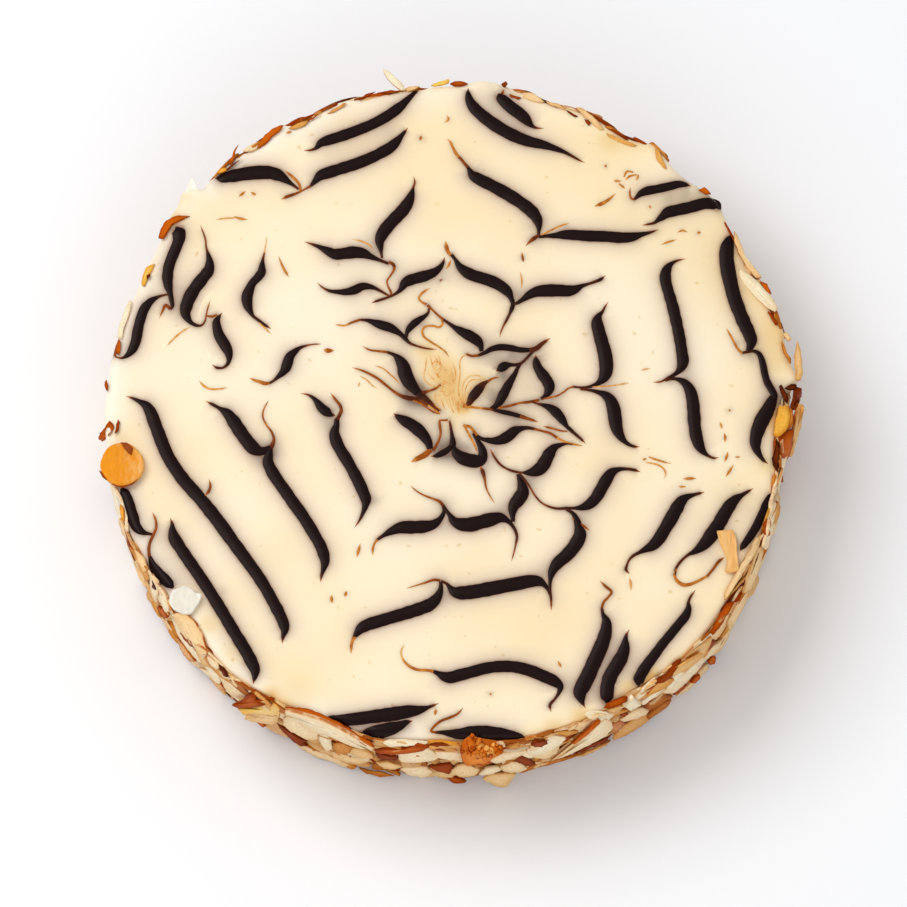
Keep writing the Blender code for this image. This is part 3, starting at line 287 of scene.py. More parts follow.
    ("dark", (47.2, 57.1, 0.7), (48, 57.9, 1.1), (48.9, 58.7, 1.8), (50.5, 59.4, 2.4), (53, 59.9, 2.3),
     (56, 60.6, 2.3), (58.5, 61.2, 2.1), (60.2, 61.2, 1.5), (61.8, 60.8, 0.6)),
    ("dark", (49.2, 50, 0.5), (50.8, 50.3, 0.6), (52.3, 50.7, 0.8), (53.3, 51.5, 1.3), (54.3, 52.3, 2),
     (55.8, 53.5, 3), (58, 54.1, 3.1), (61.5, 54.9, 3.1), (65, 55.9, 3.2), (67.3, 56, 3.3),
     (68.7, 55.4, 2.8), (69.3, 54.6, 1.8)),
    ("dark", (15.9, 28.4, 0.6), (17, 28.9, 0.9), (18.5, 29.9, 1.4), (20, 31, 2.2), (22, 31.9, 2.9),
     (25, 32.2, 3.3), (28, 32.2, 3.3), (30, 32.1, 3.1), (31.8, 32.5, 2.4), (33.5, 33.4, 1.2),
     (35, 33.9, 0.8), (37, 34.6, 0.8), (38.5, 35.3, 0.9), (39.6, 36.3, 0.4)),
    # round the hub
    ("dark", (21.6, 14.6, 0.8), (21.7, 13, 1.7), (22.1, 11.4, 2.4), (23.3, 9.4, 2.9), (24.5, 7.6, 3),
     (25.1, 5.9, 2.8), (24.7, 4.4, 2), (23.9, 3.4, 1.2), (22.9, 2.7, 0.8)),
    ("brown", (3.8, 14.9, 0.6), (5.2, 14.4, 0.7), (7, 14.6, 0.8)),
    ("dark", (7, 14.6, 0.8), (8.7, 15.4, 1.1), (10.3, 16.3, 1.5), (12.5, 16.8, 1.8), (15, 16.6, 1.8),
     (17.5, 16.1, 1.5), (20, 16, 1.2)),
    ("brown", (20, 16, 1.2), (21.7, 16.4, 1.4), (23.2, 17.7, 1.1), (25.3, 19.2, 0.5)),
    ("brown", (-6.2, 28.2, 0.8), (-5, 27, 0.6), (-3.5, 25.5, 0.6), (-2, 24.2, 0.7)),
    ("dark", (-2, 24.2, 0.7), (-0.5, 23.1, 0.9), (1, 22, 1.5), (3, 20.8, 2.5), (5, 19.7, 2.9),
     (6.7, 18.4, 2.6), (7.5, 17, 1.6), (7.7, 15.7, 1)),
    ("brown", (-22.9, 17, 0.4), (-21, 16, 0.5), (-19, 15.7, 0.6), (-16.5, 15.4, 0.7)),
    ("dark", (-16.5, 15.4, 0.7), (-14.7, 14.6, 1.1), (-13.4, 13.3, 2.4), (-12.4, 11.6, 3.4),
     (-11.9, 9.6, 3.7), (-11, 7.5, 3.5), (-9.8, 5.8, 2.9), (-8.6, 4.4, 2.3)),
    ("brown", (-8.6, 4.4, 2.3), (-7.4, 3.3, 1.9), (-6, 2, 1.5), (-4.5, 0.7, 1.2), (-3.1, -0.5, 0.9)),
    ("amber", (-6.6, 1.7, 0.4), (-4.8, 0.1, 0.5), (-3.2, -1.1, 0.5)),
    ("amber", (-5.2, 1.9, 0.4), (-4, 0.7, 0.5), (-2.8, -0.4, 0.5)),
    ("brown", (-7.5, 4.3, 1.4), (-6, 4.8, 0.7), (-4.2, 5.5, 0.6), (-2.8, 6.6, 0.5)),
    ("brown", (-25.4, 11.2, 0.4), (-22.5, 10.2, 0.6), (-19.5, 8.6, 0.7), (-17, 6.6, 0.7), (-15, 4.9, 0.7),
     (-13.2, 3.7, 0.9), (-11.3, 3, 1.3), (-9.3, 2.7, 1.2), (-7.5, 2, 1), (-6, 1, 0.9)),
    ("brown", (-12.5, 3.2, 0.5), (-10, 2.5, 0.5), (-8, 1.5, 0.5), (-6, 0.1, 0.5), (-4.5, -0.9, 0.5),
     (-3, -1.3, 0.4)),
    ("amber", (-19.6, 11.7, 0.4), (-17.5, 10.9, 0.4), (-15.8, 9.4, 0.4), (-14.2, 7.9, 0.4),
     (-13.3, 6.7, 0.3)),
    ("tan", (-23.5, 8.9, 0.4), (-21.8, 7.9, 0.4), (-20.3, 6.3, 0.4), (-19, 5.5, 0.3)),
    ("amber", (-23.6, 7.2, 0.4), (-23.9, 5.9, 0.3)),
    ("dark", (11.3, 10.3, 0.4), (12.5, 10.9, 2.2), (13.6, 11.7, 2.4), (15, 12, 1.2), (16.5, 12, 0.9),
     (17.8, 12.4, 0.8), (19.2, 13.7, 0.7), (20.3, 15, 0.8), (21.3, 16.2, 0.9)),
    ("dark", (17.6, 12.2, 0.8), (16.9, 11, 1), (16.3, 9.6, 1.3), (15.5, 8.2, 1.8), (14.6, 6.6, 2.2),
     (13.8, 5, 2.5), (13, 3.4, 2.5), (12.3, 2, 2.2), (11.4, 0.9, 1.5), (10, 0.1, 0.8)),
    ("brown", (12.4, 8.6, 0.5), (10.8, 8.4, 0.5), (9.4, 7.6, 0.7)),
    ("brown", (9.4, 7.6, 0.7), (8.3, 6.9, 1.4), (7.4, 5.9, 2.2), (6.3, 4.5, 2.6), (5.3, 3.1, 2.3),
     (4.6, 1.8, 1.6), (4, 0.7, 1)),
    ("amber", (3, 1, 1.2), (5.5, 0.5, 0.7), (8, 0.2, 0.6)),
    ("brown", (8, 0.2, 0.6), (10.5, -0.1, 0.8)),
    ("dark", (10.5, -0.1, 0.8), (12.8, -0.7, 1.2), (15, -1.2, 1.3), (17.5, -1.9, 1.1)),
    ("brown", (17.5, -1.9, 1.1), (19.8, -2.7, 0.8), (22.2, -3.5, 0.5)),
    ("brown", (12, 0.3, 0.5), (15, 0.9, 0.7), (17.5, 1.6, 0.6), (20, 1.9, 0.8), (22.5, 2.4, 0.7)),
    ("dark", (20.5, 1.9, 0.5), (22.5, 1.3, 0.7), (24.4, 0.7, 1.5), (26, -0.2, 2.4), (27.4, -1.6, 2.6),
     (28.6, -3.3, 2), (29.6, -4.8, 1.1), (30.3, -5.5, 1), (31.8, -6.9, 0.8), (33.2, -8.2, 0.7),
     (34.3, -9.3, 0.5)),
    ("amber", (3.3, -4.6, 0.9), (4.6, -4.7, 0.8), (5.6, -5.8, 0.8), (6.5, -7.2, 0.9)),
    ("dark", (6.5, -7.2, 0.9), (7.7, -8, 1), (9.2, -8.4, 1.4), (11, -8.6, 2), (13, -8.2, 2.8),
     (14.8, -7.1, 3), (16.2, -5.9, 2.5), (17.8, -5.3, 1.5), (19.5, -5.1, 1), (21.2, -5.4, 0.7)),
    ("brown", (21.2, -5.4, 0.7), (23.3, -6, 0.6), (25.3, -6.6, 0.7), (27, -7.8, 0.7)),
    ("amber", (27, -7.8, 0.7), (29, -8.9, 0.6), (31, -9.5, 0.6), (33.6, -10, 0.5)),
    ("amber", (3.2, -4.2, 0.7), (4.1, -6.2, 0.6), (5.3, -8.4, 0.6), (6.2, -10.6, 0.5), (6.6, -12, 0.4)),
    ("brown", (23.5, -4.7, 0.6), (25.5, -5.2, 0.6), (28, -5.9, 0.5), (29.7, -6.1, 0.4)),
    ("dark", (0.4, -10.4, 1.2), (1.3, -12, 2.6), (2.8, -13.2, 3.5), (4.8, -13.9, 3.8), (6.6, -14, 3.7),
     (7.8, -13.2, 2.9), (8, -11.8, 2.3), (7.6, -10.3, 1.8), (6.9, -8.9, 1.3), (5.6, -6.6, 0.8)),
    ("dark", (-0.5, -3.2, 0.5), (-0.2, -5, 0.7), (0.1, -7, 1), (0.3, -8.8, 1.6), (0.2, -10.3, 1.8)),
    ("brown", (7.4, -15.5, 1.2), (8, -17, 1.1), (8.5, -19, 0.7), (8.8, -21, 0.5), (9.6, -23, 0.4),
     (11, -25.3, 0.3)),
    ("dark", (-5.2, -12.8, 0.8), (-3.8, -12.6, 1.2), (-2.5, -12, 1.7), (-1.2, -11.2, 1.6), (0, -10, 1.3)),
    ("dark", (-14.9, -1.2, 0.5), (-13.6, -2.2, 1.7), (-12, -3.2, 2.8), (-10.2, -4.3, 3.2),
     (-8.4, -5.8, 3.3), (-6.9, -7.5, 2.9), (-5.9, -9.2, 2.1), (-5.5, -10.8, 1.5)),
    ("amber", (-5.3, -11, 1.5), (-6.8, -12.4, 1.6), (-8.5, -13.3, 1.4), (-10.3, -14.3, 0.9)),
    ("brown", (-1, -3, 0.6), (-2, -3.1, 0.5), (-3, -3.1, 0.5), (-3, -4.5, 0.7), (-2.8, -6.5, 0.6),
     (-3.2, -8.3, 0.6), (-4, -10, 0.7), (-4.8, -11.2, 0.9)),
    # swirls at the hub
    ("faint", (-2.8, 6.6, 0.25), (-1.2, 7, 0.35), (0, 6.6, 0.35), (0.2, 5.6, 0.25)),
    ("faint", (-3, 5, 0.25), (-2, 4.6, 0.35), (-1, 5, 0.35), (-1.3, 6.1, 0.25)),
    ("faint", (-6.4, 14, 0.25), (-6.7, 11.1, 0.35), (-7.05, 8.2, 0.35), (-5.3, 6.4, 0.35),
     (-2.95, 6, 0.25)),
    ("faint", (-5.5, 14.6, 0.25), (-4.66, 11.1, 0.35), (-3.3, 8.55, 0.35), (-1.24, 7.1, 0.25)),
    ("faint", (-4.4, 14.5, 0.25), (-3, 12, 0.35), (-1.6, 10.2, 0.25), (-0.4, 7.6, 0.25)),
    ("faint", (-3.3, 14.3, 0.25), (-2.6, 11.8, 0.35), (-0.56, 9.6, 0.35), (0.47, 7.1, 0.25)),
    ("faint", (-5, 12.2, 0.25), (-3.6, 13.2, 0.35), (-4.4, 10.4, 0.35), (-2.6, 11.2, 0.35),
     (-3.6, 8.9, 0.35), (-2.2, 9, 0.25)),
    ("faint", (-5.9, 9.4, 0.25), (-4.9, 8.3, 0.35), (-4, 7.4, 0.25)),
    ("faint", (0.3, 12.5, 0.25), (1, 10, 0.35), (0.8, 7, 0.35), (0.5, 4.4, 0.25), (1.15, 1, 0.25)),
    ("faint", (-0.2, 11.1, 0.25), (0.4, 8.2, 0.35), (-0.1, 4.6, 0.25), (0.5, 1.2, 0.25)),
    ("tan", (3.8, 14.9, 0.35), (2.6, 13.9, 0.35), (2.1, 12.3, 0.35), (2.2, 9.5, 0.25), (1.8, 6, 0.25),
     (2, 3.5, 0.35), (3, 1.5, 0.35)),
    ("faint", (2.9, 2.4, 0.25), (2.9, 6.4, 0.35), (4.6, 8.9, 0.35), (7.3, 8.9, 0.35), (8.7, 7.6, 0.25)),
    ("faint", (3.4, 2.5, 0.25), (3.6, 5.5, 0.25), (5, 7.8, 0.25), (7.5, 7.9, 0.3)),
    ("faint", (3.2, 2, 0.25), (4.4, 4.9, 0.25), (5.6, 6.6, 0.25)),
    ("faint", (-4, 4.5, 0.25), (-4.2, 3, 0.35), (-3.3, 1.3, 0.25)),
    ("faint", (-2.3, 4.6, 0.25), (-2.3, 6, 0.35), (-0.9, 6, 0.35), (-0.2, 4.6, 0.35), (-1.2, 3.5, 0.35),
     (-2.1, 4.2, 0.25)),
    ("faint", (-1.6, 3.1, 0.25), (-1, 1.4, 0.35), (0, 0.2, 0.35), (0.6, -1, 0.25)),
    ("faint", (-0.8, 3, 0.25), (-0.2, 1, 0.35), (0.3, -0.6, 0.25)),
    ("faint", (-2.6, 3, 0.25), (-2.2, 1.2, 0.35), (-1.4, -0.4, 0.25)),
    ("tan", (1.6, 2.2, 0.35), (1.7, 0.4, 0.6), (1.9, -1.2, 0.35)),
    # flecks
    ("amber", (-54.9, 57.8, 0.5), (-54, 58.6, 0.7), (-53.2, 59.3, 0.5)),
    ("amber", (-51.8, 59, 0.5), (-51.1, 58.7, 0.7), (-50.4, 58.3, 0.5)),
    ("amber", (-56, 52.3, 0.4), (-54.3, 51.8, 0.7), (-52.6, 51.5, 0.4)),
    ("tan", (-60.9, 51.5, 0.3), (-58.5, 51.9, 0.5), (-56, 52, 0.4)),
    ("amber", (-44.6, 41.6, 0.3), (-43.6, 39, 0.6), (-42.6, 37, 0.7), (-41.8, 35.7, 0.4)),
    ("amber", (-32.8, 16, 0.8), (-31.9, 15.8, 1.4), (-30.9, 15.8, 1), (-30.2, 15.8, 0.6)),
    ("tan", (-64.8, 7.6, 0.4), (-63.5, 6.2, 0.6), (-61.9, 5.4, 0.6), (-59.5, 5.4, 0.5), (-57.5, 5.8, 0.4)),
    ("amber", (-1.3, 80.2, 0.4), (-0.8, 79, 0.6), (-1.9, 78.2, 0.4)),
    ("amber", (-8.4, 74, 0.7), (-8, 73.9, 1.4), (-7.6, 73.8, 0.7)),
    ("amber", (-42.8, 75.3, 0.4), (-42, 75.5, 0.7), (-41.2, 75.6, 0.4)),
    ("amber", (-23.3, -36.3, 0.5), (-23.7, -38, 0.8), (-24.2, -40, 0.5)),
    ("amber", (-30.5, -50, 0.5), (-30.6, -51.2, 0.8), (-30.4, -52.3, 0.5)),
    ("amber", (-26.8, -49, 0.5), (-27, -49.8, 0.8), (-27.2, -50.5, 0.5)),
    ("amber", (37, 55.2, 1.1), (39, 56, 1), (40.8, 57.2, 0.7), (42.3, 58.7, 0.4)),
    ("amber", (44.5, 63.2, 0.4), (45.3, 64.7, 0.6), (46.9, 64.5, 0.4)),
    ("amber", (44.8, 62.2, 0.4), (46, 63.4, 0.6), (47.8, 63.8, 0.4)),
    ("amber", (41.8, 62.1, 0.4), (42.7, 62.1, 0.6), (43.6, 62, 0.4)),
    ("amber", (43.2, 61.3, 0.4), (44, 60.7, 0.6), (44.8, 60, 0.4)),
    ("amber", (48.2, 63.8, 0.4), (48, 63, 0.6), (47.6, 62.2, 0.4)),
    ("amber", (39.4, 66.3, 0.4), (39.8, 66.2, 0.8), (40.2, 66.1, 0.4)),
    ("amber", (51, 55.6, 0.3), (51.2, 55, 0.5), (51.3, 54.5, 0.3)),
    ("amber", (54, 44.7, 0.4), (56, 45.5, 0.6), (58, 46.1, 0.4)),
    ("amber", (58.2, 48, 0.3), (59.5, 48.6, 0.6), (60.8, 48.1, 0.4)),
    ("amber", (63.2, 47.8, 0.4), (63.7, 48, 0.7), (64.2, 48.1, 0.4)),
    ("tan", (48.5, 10.5, 0.3), (49.8, 10.8, 0.5), (51, 11, 0.3)),
    ("amber", (71, -0.5, 0.4), (71.3, -0.4, 0.8), (71.6, -0.3, 0.4)),
    ("tan", (68.7, -3.5, 0.4), (69.1, -4.5, 0.6), (69.3, -5.5, 0.4)),
    ("amber", (69.9, -6.5, 0.5), (70.1, -7.8, 0.7), (70, -9, 0.5)),
    ("amber", (70.8, -11.6, 0.5), (70.4, -13, 0.7), (69.9, -14.3, 0.5)),
    ("amber", (72.2, -15.1, 0.5), (71.2, -16.7, 0.7), (70.2, -18.3, 0.5)),
    ("amber", (72.5, -13, 0.3), (73.3, -13, 0.5), (74, -13, 0.3)),
    ("amber", (50.5, -13, 0.4), (53, -13.9, 0.6), (56, -14.8, 0.3)),
    ("amber", (48.9, -13.8, 0.4), (49.4, -13.6, 0.6), (49.8, -13.4, 0.4)),
    ("tan", (49.8, -14.4, 0.4), (53, -15.2, 0.5), (54.5, -16.5, 0.5), (54.8, -18, 0.4), (54.2, -18.8, 0.3)),
    ("amber", (59.2, -18.9, 0.5), (61, -18.8, 0.8), (62.6, -18.8, 0.5)),
    ("amber", (57.9, -21, 0.4), (59, -21, 0.6), (60, -21, 0.4)),
    ("amber", (27, -67.7, 0.4), (27.5, -68.6, 0.6), (28, -69.5, 0.4)),
    ("amber", (9.6, -76.5, 0.4), (9.9, -76.5, 0.8), (10.2, -76.5, 0.4)),
    ("amber", (-3.9, -80.3, 0.4), (-4.1, -81.3, 0.7), (-4.2, -82.3, 0.4)),
    ("tan", (45.5, -45.5, 0.5), (45.7, -47.2, 0.7), (45.8, -49, 0.4)),
)


# ---------------------------------------------------------------- helpers

def srgb(red, green, blue):
    """A display colour, 0 to 255, as linear values."""
    def linear(value):
        value /= 255
        return value / 12.92 if value <= 0.04045 else ((value + 0.055) / 1.055) ** 2.4
    return linear(red), linear(green), linear(blue)


def smoothstep(low, high, value):
    """0 below low, 1 above high, smooth between."""
    share = np.clip((value - low) / (high - low), 0, 1)
    return share * share * (3 - 2 * share)


def seen(x, y, z):
    """The point at height z that the camera sees at (x, y) of the icing's flat top."""
    return np.array((x, y + (TOP - z) * SEEN_SHIFT, z))


def make_piece(name, verts, quads, tris, material, **attributes):
    """A smooth mesh piece in metres from millimetre points, with float attributes on its points."""
    verts = np.asarray(verts, float)
    quads = np.asarray(quads, int).reshape(-1, 4)
    tris = np.asarray(tris, int).reshape(-1, 3)
    mesh = bpy.data.meshes.new(name)
    mesh.vertices.add(len(verts))
    mesh.vertices.foreach_set("co", (verts * MM).ravel())
    mesh.loops.add(quads.size + tris.size)
    mesh.loops.foreach_set("vertex_index", np.concatenate((quads.ravel(), tris.ravel())))
    starts = np.concatenate((np.arange(len(quads)) * 4, quads.size + np.arange(len(tris)) * 3))
    mesh.polygons.add(len(starts))
    mesh.polygons.foreach_set("loop_start", starts)
    mesh.update(calc_edges=True)
    mesh.validate()
    mesh.shade_smooth()
    for key, values in attributes.items():
        layer = mesh.attributes.new(key, "FLOAT", "POINT")
        layer.data.foreach_set("value", np.asarray(values, np.float32))
    mesh.materials.append(material)
    piece = bpy.data.objects.new(name, mesh)
    bpy.context.scene.collection.objects.link(piece)
    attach(piece, "root")
    return piece


KNOT_ROOM = 1e-6                # points given twice still lie this far apart along a curve


def spline(rows, step):
    """Rows along the centripetal Catmull-Rom curve through the given rows, about step apart."""
    rows = np.asarray(rows, float)
    padded = np.vstack((2 * rows[0] - rows[1], rows, 2 * rows[-1] - rows[-2]))
    made = []
    for p0, p1, p2, p3 in zip(padded, padded[1:], padded[2:], padded[3:]):
        t1 = np.linalg.norm(p1[:2] - p0[:2]) ** 0.5 + KNOT_ROOM
        t2 = t1 + np.linalg.norm(p2[:2] - p1[:2]) ** 0.5 + KNOT_ROOM
        t3 = t2 + np.linalg.norm(p3[:2] - p2[:2]) ** 0.5 + KNOT_ROOM
        count = max(1, math.ceil(np.linalg.norm(p2[:2] - p1[:2]) / step))
        for t in t1 + (t2 - t1) * np.arange(count) / count:
            a1 = (t1 - t) / t1 * p0 + t / t1 * p1
            a2 = (t2 - t) / (t2 - t1) * p1 + (t - t1) / (t2 - t1) * p2
            a3 = (t3 - t) / (t3 - t2) * p2 + (t - t2) / (t3 - t2) * p3
            b1 = (t2 - t) / t2 * a1 + t / t2 * a2
            b2 = (t3 - t) / (t3 - t1) * a2 + (t - t1) / (t3 - t1) * a3
            made.append((t2 - t) / (t2 - t1) * b1 + (t - t1) / (t2 - t1) * b2)
    made.append(rows[-1])
    return np.array(made)


def turning(count):
    """count angles round a full turn, in radians."""
    return np.arange(count) * 2 * math.pi / count


def turned(u, v, angle):
    """The points (u, v) turned by angle."""
    return u * math.cos(angle) - v * math.sin(angle), u * math.sin(angle) + v * math.cos(angle)


def outward_and_aside(bearing):
    """Level directions away from the middle and round it, at a bearing."""
    angle = math.radians(bearing)
    return np.array((math.cos(angle), math.sin(angle))), np.array((-math.sin(angle), math.cos(angle)))


def sideways(path):
    """The direction square to a path at each of its points."""
    ahead = np.gradient(path[:, :2], axis=0)
    ahead /= np.linalg.norm(ahead, axis=1)[:, None] + TINY
    return np.stack((-ahead[:, 1], ahead[:, 0]), 1)


def closed_rings(rings, count):
    """Quads between rings of count points each, and tris to the two end points that follow them."""
    index = np.arange(rings * count).reshape(rings, count)
    onward = np.roll(index, -1, 1)
    quads = np.stack((index[:-1], onward[:-1], onward[1:], index[1:]), 2).reshape(-1, 4)
    low, high = rings * count, rings * count + 1
    return quads, np.concatenate((np.stack((np.full(count, low), onward[0], index[0]), 1),
                                  np.stack((np.full(count, high), index[-1], onward[-1]), 1)))


def gather(parts):
    """Joins (points, quads, tris, *values) parts into one set, with the faces renumbered."""
    offset, made = 0, [[] for _ in parts[0]]
    for points, quads, tris, *values in parts:
        for bucket, item in zip(made, (points, quads + offset, tris + offset, *values)):
            bucket.append(item)
        offset += len(points)
    return [np.concatenate(bucket) for bucket in made]


# ---------------------------------------------------------------- materials

def new_material(name, roughness, **inputs):
    """A Principled material, its node tree and its shader."""
    material = bpy.data.materials.new(name)
    material.use_nodes = True
    tree = material.node_tree
    shader = tree.nodes["Principled BSDF"]
    shader.inputs["Roughness"].default_value = roughness
    for key, value in inputs.items():
        shader.inputs[key.replace("_", " ")].default_value = value
    return material, tree, shader


def noise_node(tree, scale, detail, roughness=0.55, place=None):
    """A noise texture over object space, features per metre, or over the given vector."""
    place = place or tree.nodes.new("ShaderNodeTexCoord").outputs["Object"]
    texture = tree.nodes.new("ShaderNodeTexNoise")
    texture.inputs["Scale"].default_value = scale
    texture.inputs["Detail"].default_value = detail
    texture.inputs["Roughness"].default_value = roughness
    tree.links.new(place, texture.inputs["Vector"])
    return texture.outputs["Fac"]


def attribute_node(tree, name):
    """A float attribute of the mesh."""
    node = tree.nodes.new("ShaderNodeAttribute")
    node.attribute_name = name
    return node.outputs["Fac"]


def ramp_node(tree, factor, stops):
    """A colour ramp over (position, display colour) stops."""
    node = tree.nodes.new("ShaderNodeValToRGB")
    elements = node.color_ramp.elements
    while len(elements) < len(stops):
        elements.new(0.5)
    for element, (position, colour) in zip(elements, stops):
        element.position = position
        element.color = (*srgb(*colour), 1)
    tree.links.new(factor, node.inputs["Fac"])
    return node.outputs["Color"]


def mix_node(tree, factor, first, second, mode="MIX"):
    """first and second mixed by factor; either may be a socket or a display colour."""
    node = tree.nodes.new("ShaderNodeMix")
    node.data_type = "RGBA"
    node.blend_type = mode
    for socket, value in ((node.inputs[0], factor), (node.inputs[6], first), (node.inputs[7], second)):
        if isinstance(value, bpy.types.NodeSocket):
            tree.links.new(value, socket)
        elif isinstance(value, tuple):
            socket.default_value = (*srgb(*value), 1)
        else:
            socket.default_value = value
    return node.outputs[2]


def math_node(tree, operation, first, second, clamp=False):
    """One Math node; the operands may be sockets or numbers."""
    node = tree.nodes.new("ShaderNodeMath")
    node.operation = operation
    node.use_clamp = clamp
    for socket, value in zip(node.inputs, (first, second)):
        if isinstance(value, bpy.types.NodeSocket):
            tree.links.new(value, socket)
        else:
            socket.default_value = value
    return node.outputs[0]


def wander_node(tree, texture, amount):
    """A noise texture's value, from half of amount below zero to half of it above."""
    return math_node(tree, "MULTIPLY", math_node(tree, "SUBTRACT", texture, 0.5), amount)


def add_bump(tree, shader, height, distance):
    """Fine relief from a height socket, distance in millimetres."""
    node = tree.nodes.new("ShaderNodeBump")
    node.inputs["Strength"].default_value = 1
    node.inputs["Distance"].default_value = distance * MM
    tree.links.new(height, node.inputs["Height"])
    tree.links.new(node.outputs["Normal"], shader.inputs["Normal"])


WHITE = (255, 255, 255)
ICING_CLOUDS = (                # the open icing's own colours
    (0.32, (250, 235, 207)), (0.5, (250, 231, 196)), (0.68, (247, 224, 182)))
ICING_SPECKS = ((0.72, WHITE), (0.8, (228, 205, 150)))
SPECK_STRENGTH = 0.5
# one tint is painted light: the paler rim on the left
ICING_TINTS = {                 # what each of the icing's fields turns it to
    "painted_light": (249, 240, 222), "halo": (196, 176, 162), "shade": (96, 82, 72), "bleed": (116, 70, 44)}
SYRUPS = (                      # from what depth syrup shows, how fast it comes in, its colour
    (0, 1.6, (238, 212, 148)), (0.15, 1.15, (222, 162, 80)))


def icing_material():
    """Poured fondant: cream, a little see-through, greyer beside the chocolate, warmer at the hub, with
    light painted on its left rim.
    """
    material, tree, shader = new_material(
        "icing", roughness=0.38, Subsurface_Weight=0.15, Subsurface_Scale=1.6 * MM, IOR=1.4,
        Specular_IOR_Level=0.35)
    shader.inputs["Subsurface Radius"].default_value = (1.0, 0.75, 0.45)
    colour = ramp_node(tree, noise_node(tree, scale=22, detail=2), ICING_CLOUDS)
    for field in ("painted_light", "halo", "shade"):
        colour = mix_node(tree, attribute_node(tree, field), colour, ICING_TINTS[field])
    syrup = attribute_node(tree, "amber")
    for start, rise, tint in SYRUPS:
        share = math_node(tree, "MULTIPLY", math_node(tree, "SUBTRACT", syrup, start), rise, clamp=True)
        colour = mix_node(tree, share, colour, tint)
    colour = mix_node(tree, attribute_node(tree, "bleed"), colour, ICING_TINTS["bleed"])
    specks = ramp_node(tree, noise_node(tree, scale=420, detail=1), ICING_SPECKS)
    colour = mix_node(tree, SPECK_STRENGTH, colour, specks, "MULTIPLY")
    tree.links.new(colour, shader.inputs["Base Color"])
    add_bump(tree, shader, noise_node(tree, scale=260, detail=2), distance=0.05)
    return material


CHOCOLATE_COLOURS = (           # by depth
    (0.0, (234, 192, 130)), (0.12, (212, 142, 58)), (0.28, (158, 80, 20)), (0.45, (88, 36, 12)),
    (0.66, (42, 19, 13)), (0.9, (24, 12, 12)))
CHOCOLATE_WANDER = 0.4          # how much the depth wanders within a line


def chocolate_material():
    """Chocolate drawn into the wet icing: near black where thick, rust and amber where it thins."""
    material, tree, shader = new_material(
        "chocolate", roughness=0.4, IOR=1.4, Specular_IOR_Level=0.1, Specular_Tint=(1.0, 0.72, 0.6, 1),
        Coat_Weight=0.06, Coat_Roughness=0.2)
    uneven = noise_node(tree, scale=600, detail=3, roughness=0.65)
    wander = wander_node(tree, uneven, CHOCOLATE_WANDER)
    depth = math_node(tree, "ADD", attribute_node(tree, "depth"), wander)
    tree.links.new(ramp_node(tree, depth, CHOCOLATE_COLOURS), shader.inputs["Base Color"])
    add_bump(tree, shader, noise_node(tree, scale=500, detail=3), distance=0.03)
    return material


GRAIN_STRETCH = 0.14            # how fine the grain is along a slice, as a share of that across it
GRAIN_SHADES = ((0.34, (196, 154, 110)), (0.56, WHITE))
SKIN_LEFT = ((0.4, (0, 0, 0)), (0.58, WHITE))   # where an edge keeps its brown skin
TONE_APART = 60                 # flakes that differ in tone differ in grain as well


def almond_material(name, stops, skin, roughness, patch_strength, grain_strength, gloss,
                    stretch=GRAIN_STRETCH):
    """Sliced almond: a fibrous grain along each piece, brown skin left in places on its edge."""
    material, tree, shader = new_material(
        name, roughness, Subsurface_Weight=0.1, Subsurface_Scale=0.8 * MM, IOR=1.4,
        Specular_IOR_Level=gloss, Specular_Tint=(1.0, 0.84, 0.66, 1))
    shader.inputs["Subsurface Radius"].default_value = (1.0, 0.7, 0.4)
    own_tone = attribute_node(tree, "tone")
    place = tree.nodes.new("ShaderNodeCombineXYZ")
    along = math_node(tree, "MULTIPLY", attribute_node(tree, "along"), stretch)
    apart = math_node(tree, "MULTIPLY", own_tone, TONE_APART)
    for axis, value in (("X", attribute_node(tree, "across")), ("Y", along), ("Z", apart)):
        tree.links.new(value, place.inputs[axis])
    place = place.outputs["Vector"]
    grain = noise_node(tree, scale=2.6, detail=3, roughness=0.65, place=place)
    patches = noise_node(tree, scale=0.55, detail=3, roughness=0.6, place=place)
    tone = math_node(tree, "ADD", own_tone, wander_node(tree, patches, patch_strength))
    shades = ramp_node(tree, grain, GRAIN_SHADES)
    colour = mix_node(tree, grain_strength, ramp_node(tree, tone, stops), shades, "MULTIPLY")
    left = ramp_node(tree, noise_node(tree, scale=260, detail=2), SKIN_LEFT)
    edge = math_node(tree, "MULTIPLY", attribute_node(tree, "skin"), left, clamp=True)
    tree.links.new(mix_node(tree, edge, colour, skin), shader.inputs["Base Color"])
    add_bump(tree, shader, grain, distance=0.07)
    return material


CORE_COLOURS = ((0.35, (120, 58, 18)), (0.5, (184, 112, 48)), (0.7, (226, 172, 104)))


def core_material():
    """Cream and crumbs between the flakes."""
    material, tree, shader = new_material("cream_and_crumbs", roughness=0.7)
    colour = ramp_node(tree, noise_node(tree, scale=300, detail=4), CORE_COLOURS)
    tree.links.new(colour, shader.inputs["Base Color"])
    add_bump(tree, shader, noise_node(tree, scale=600, detail=4), distance=0.6)
    return material


# ---------------------------------------------------------------- the icing's surface

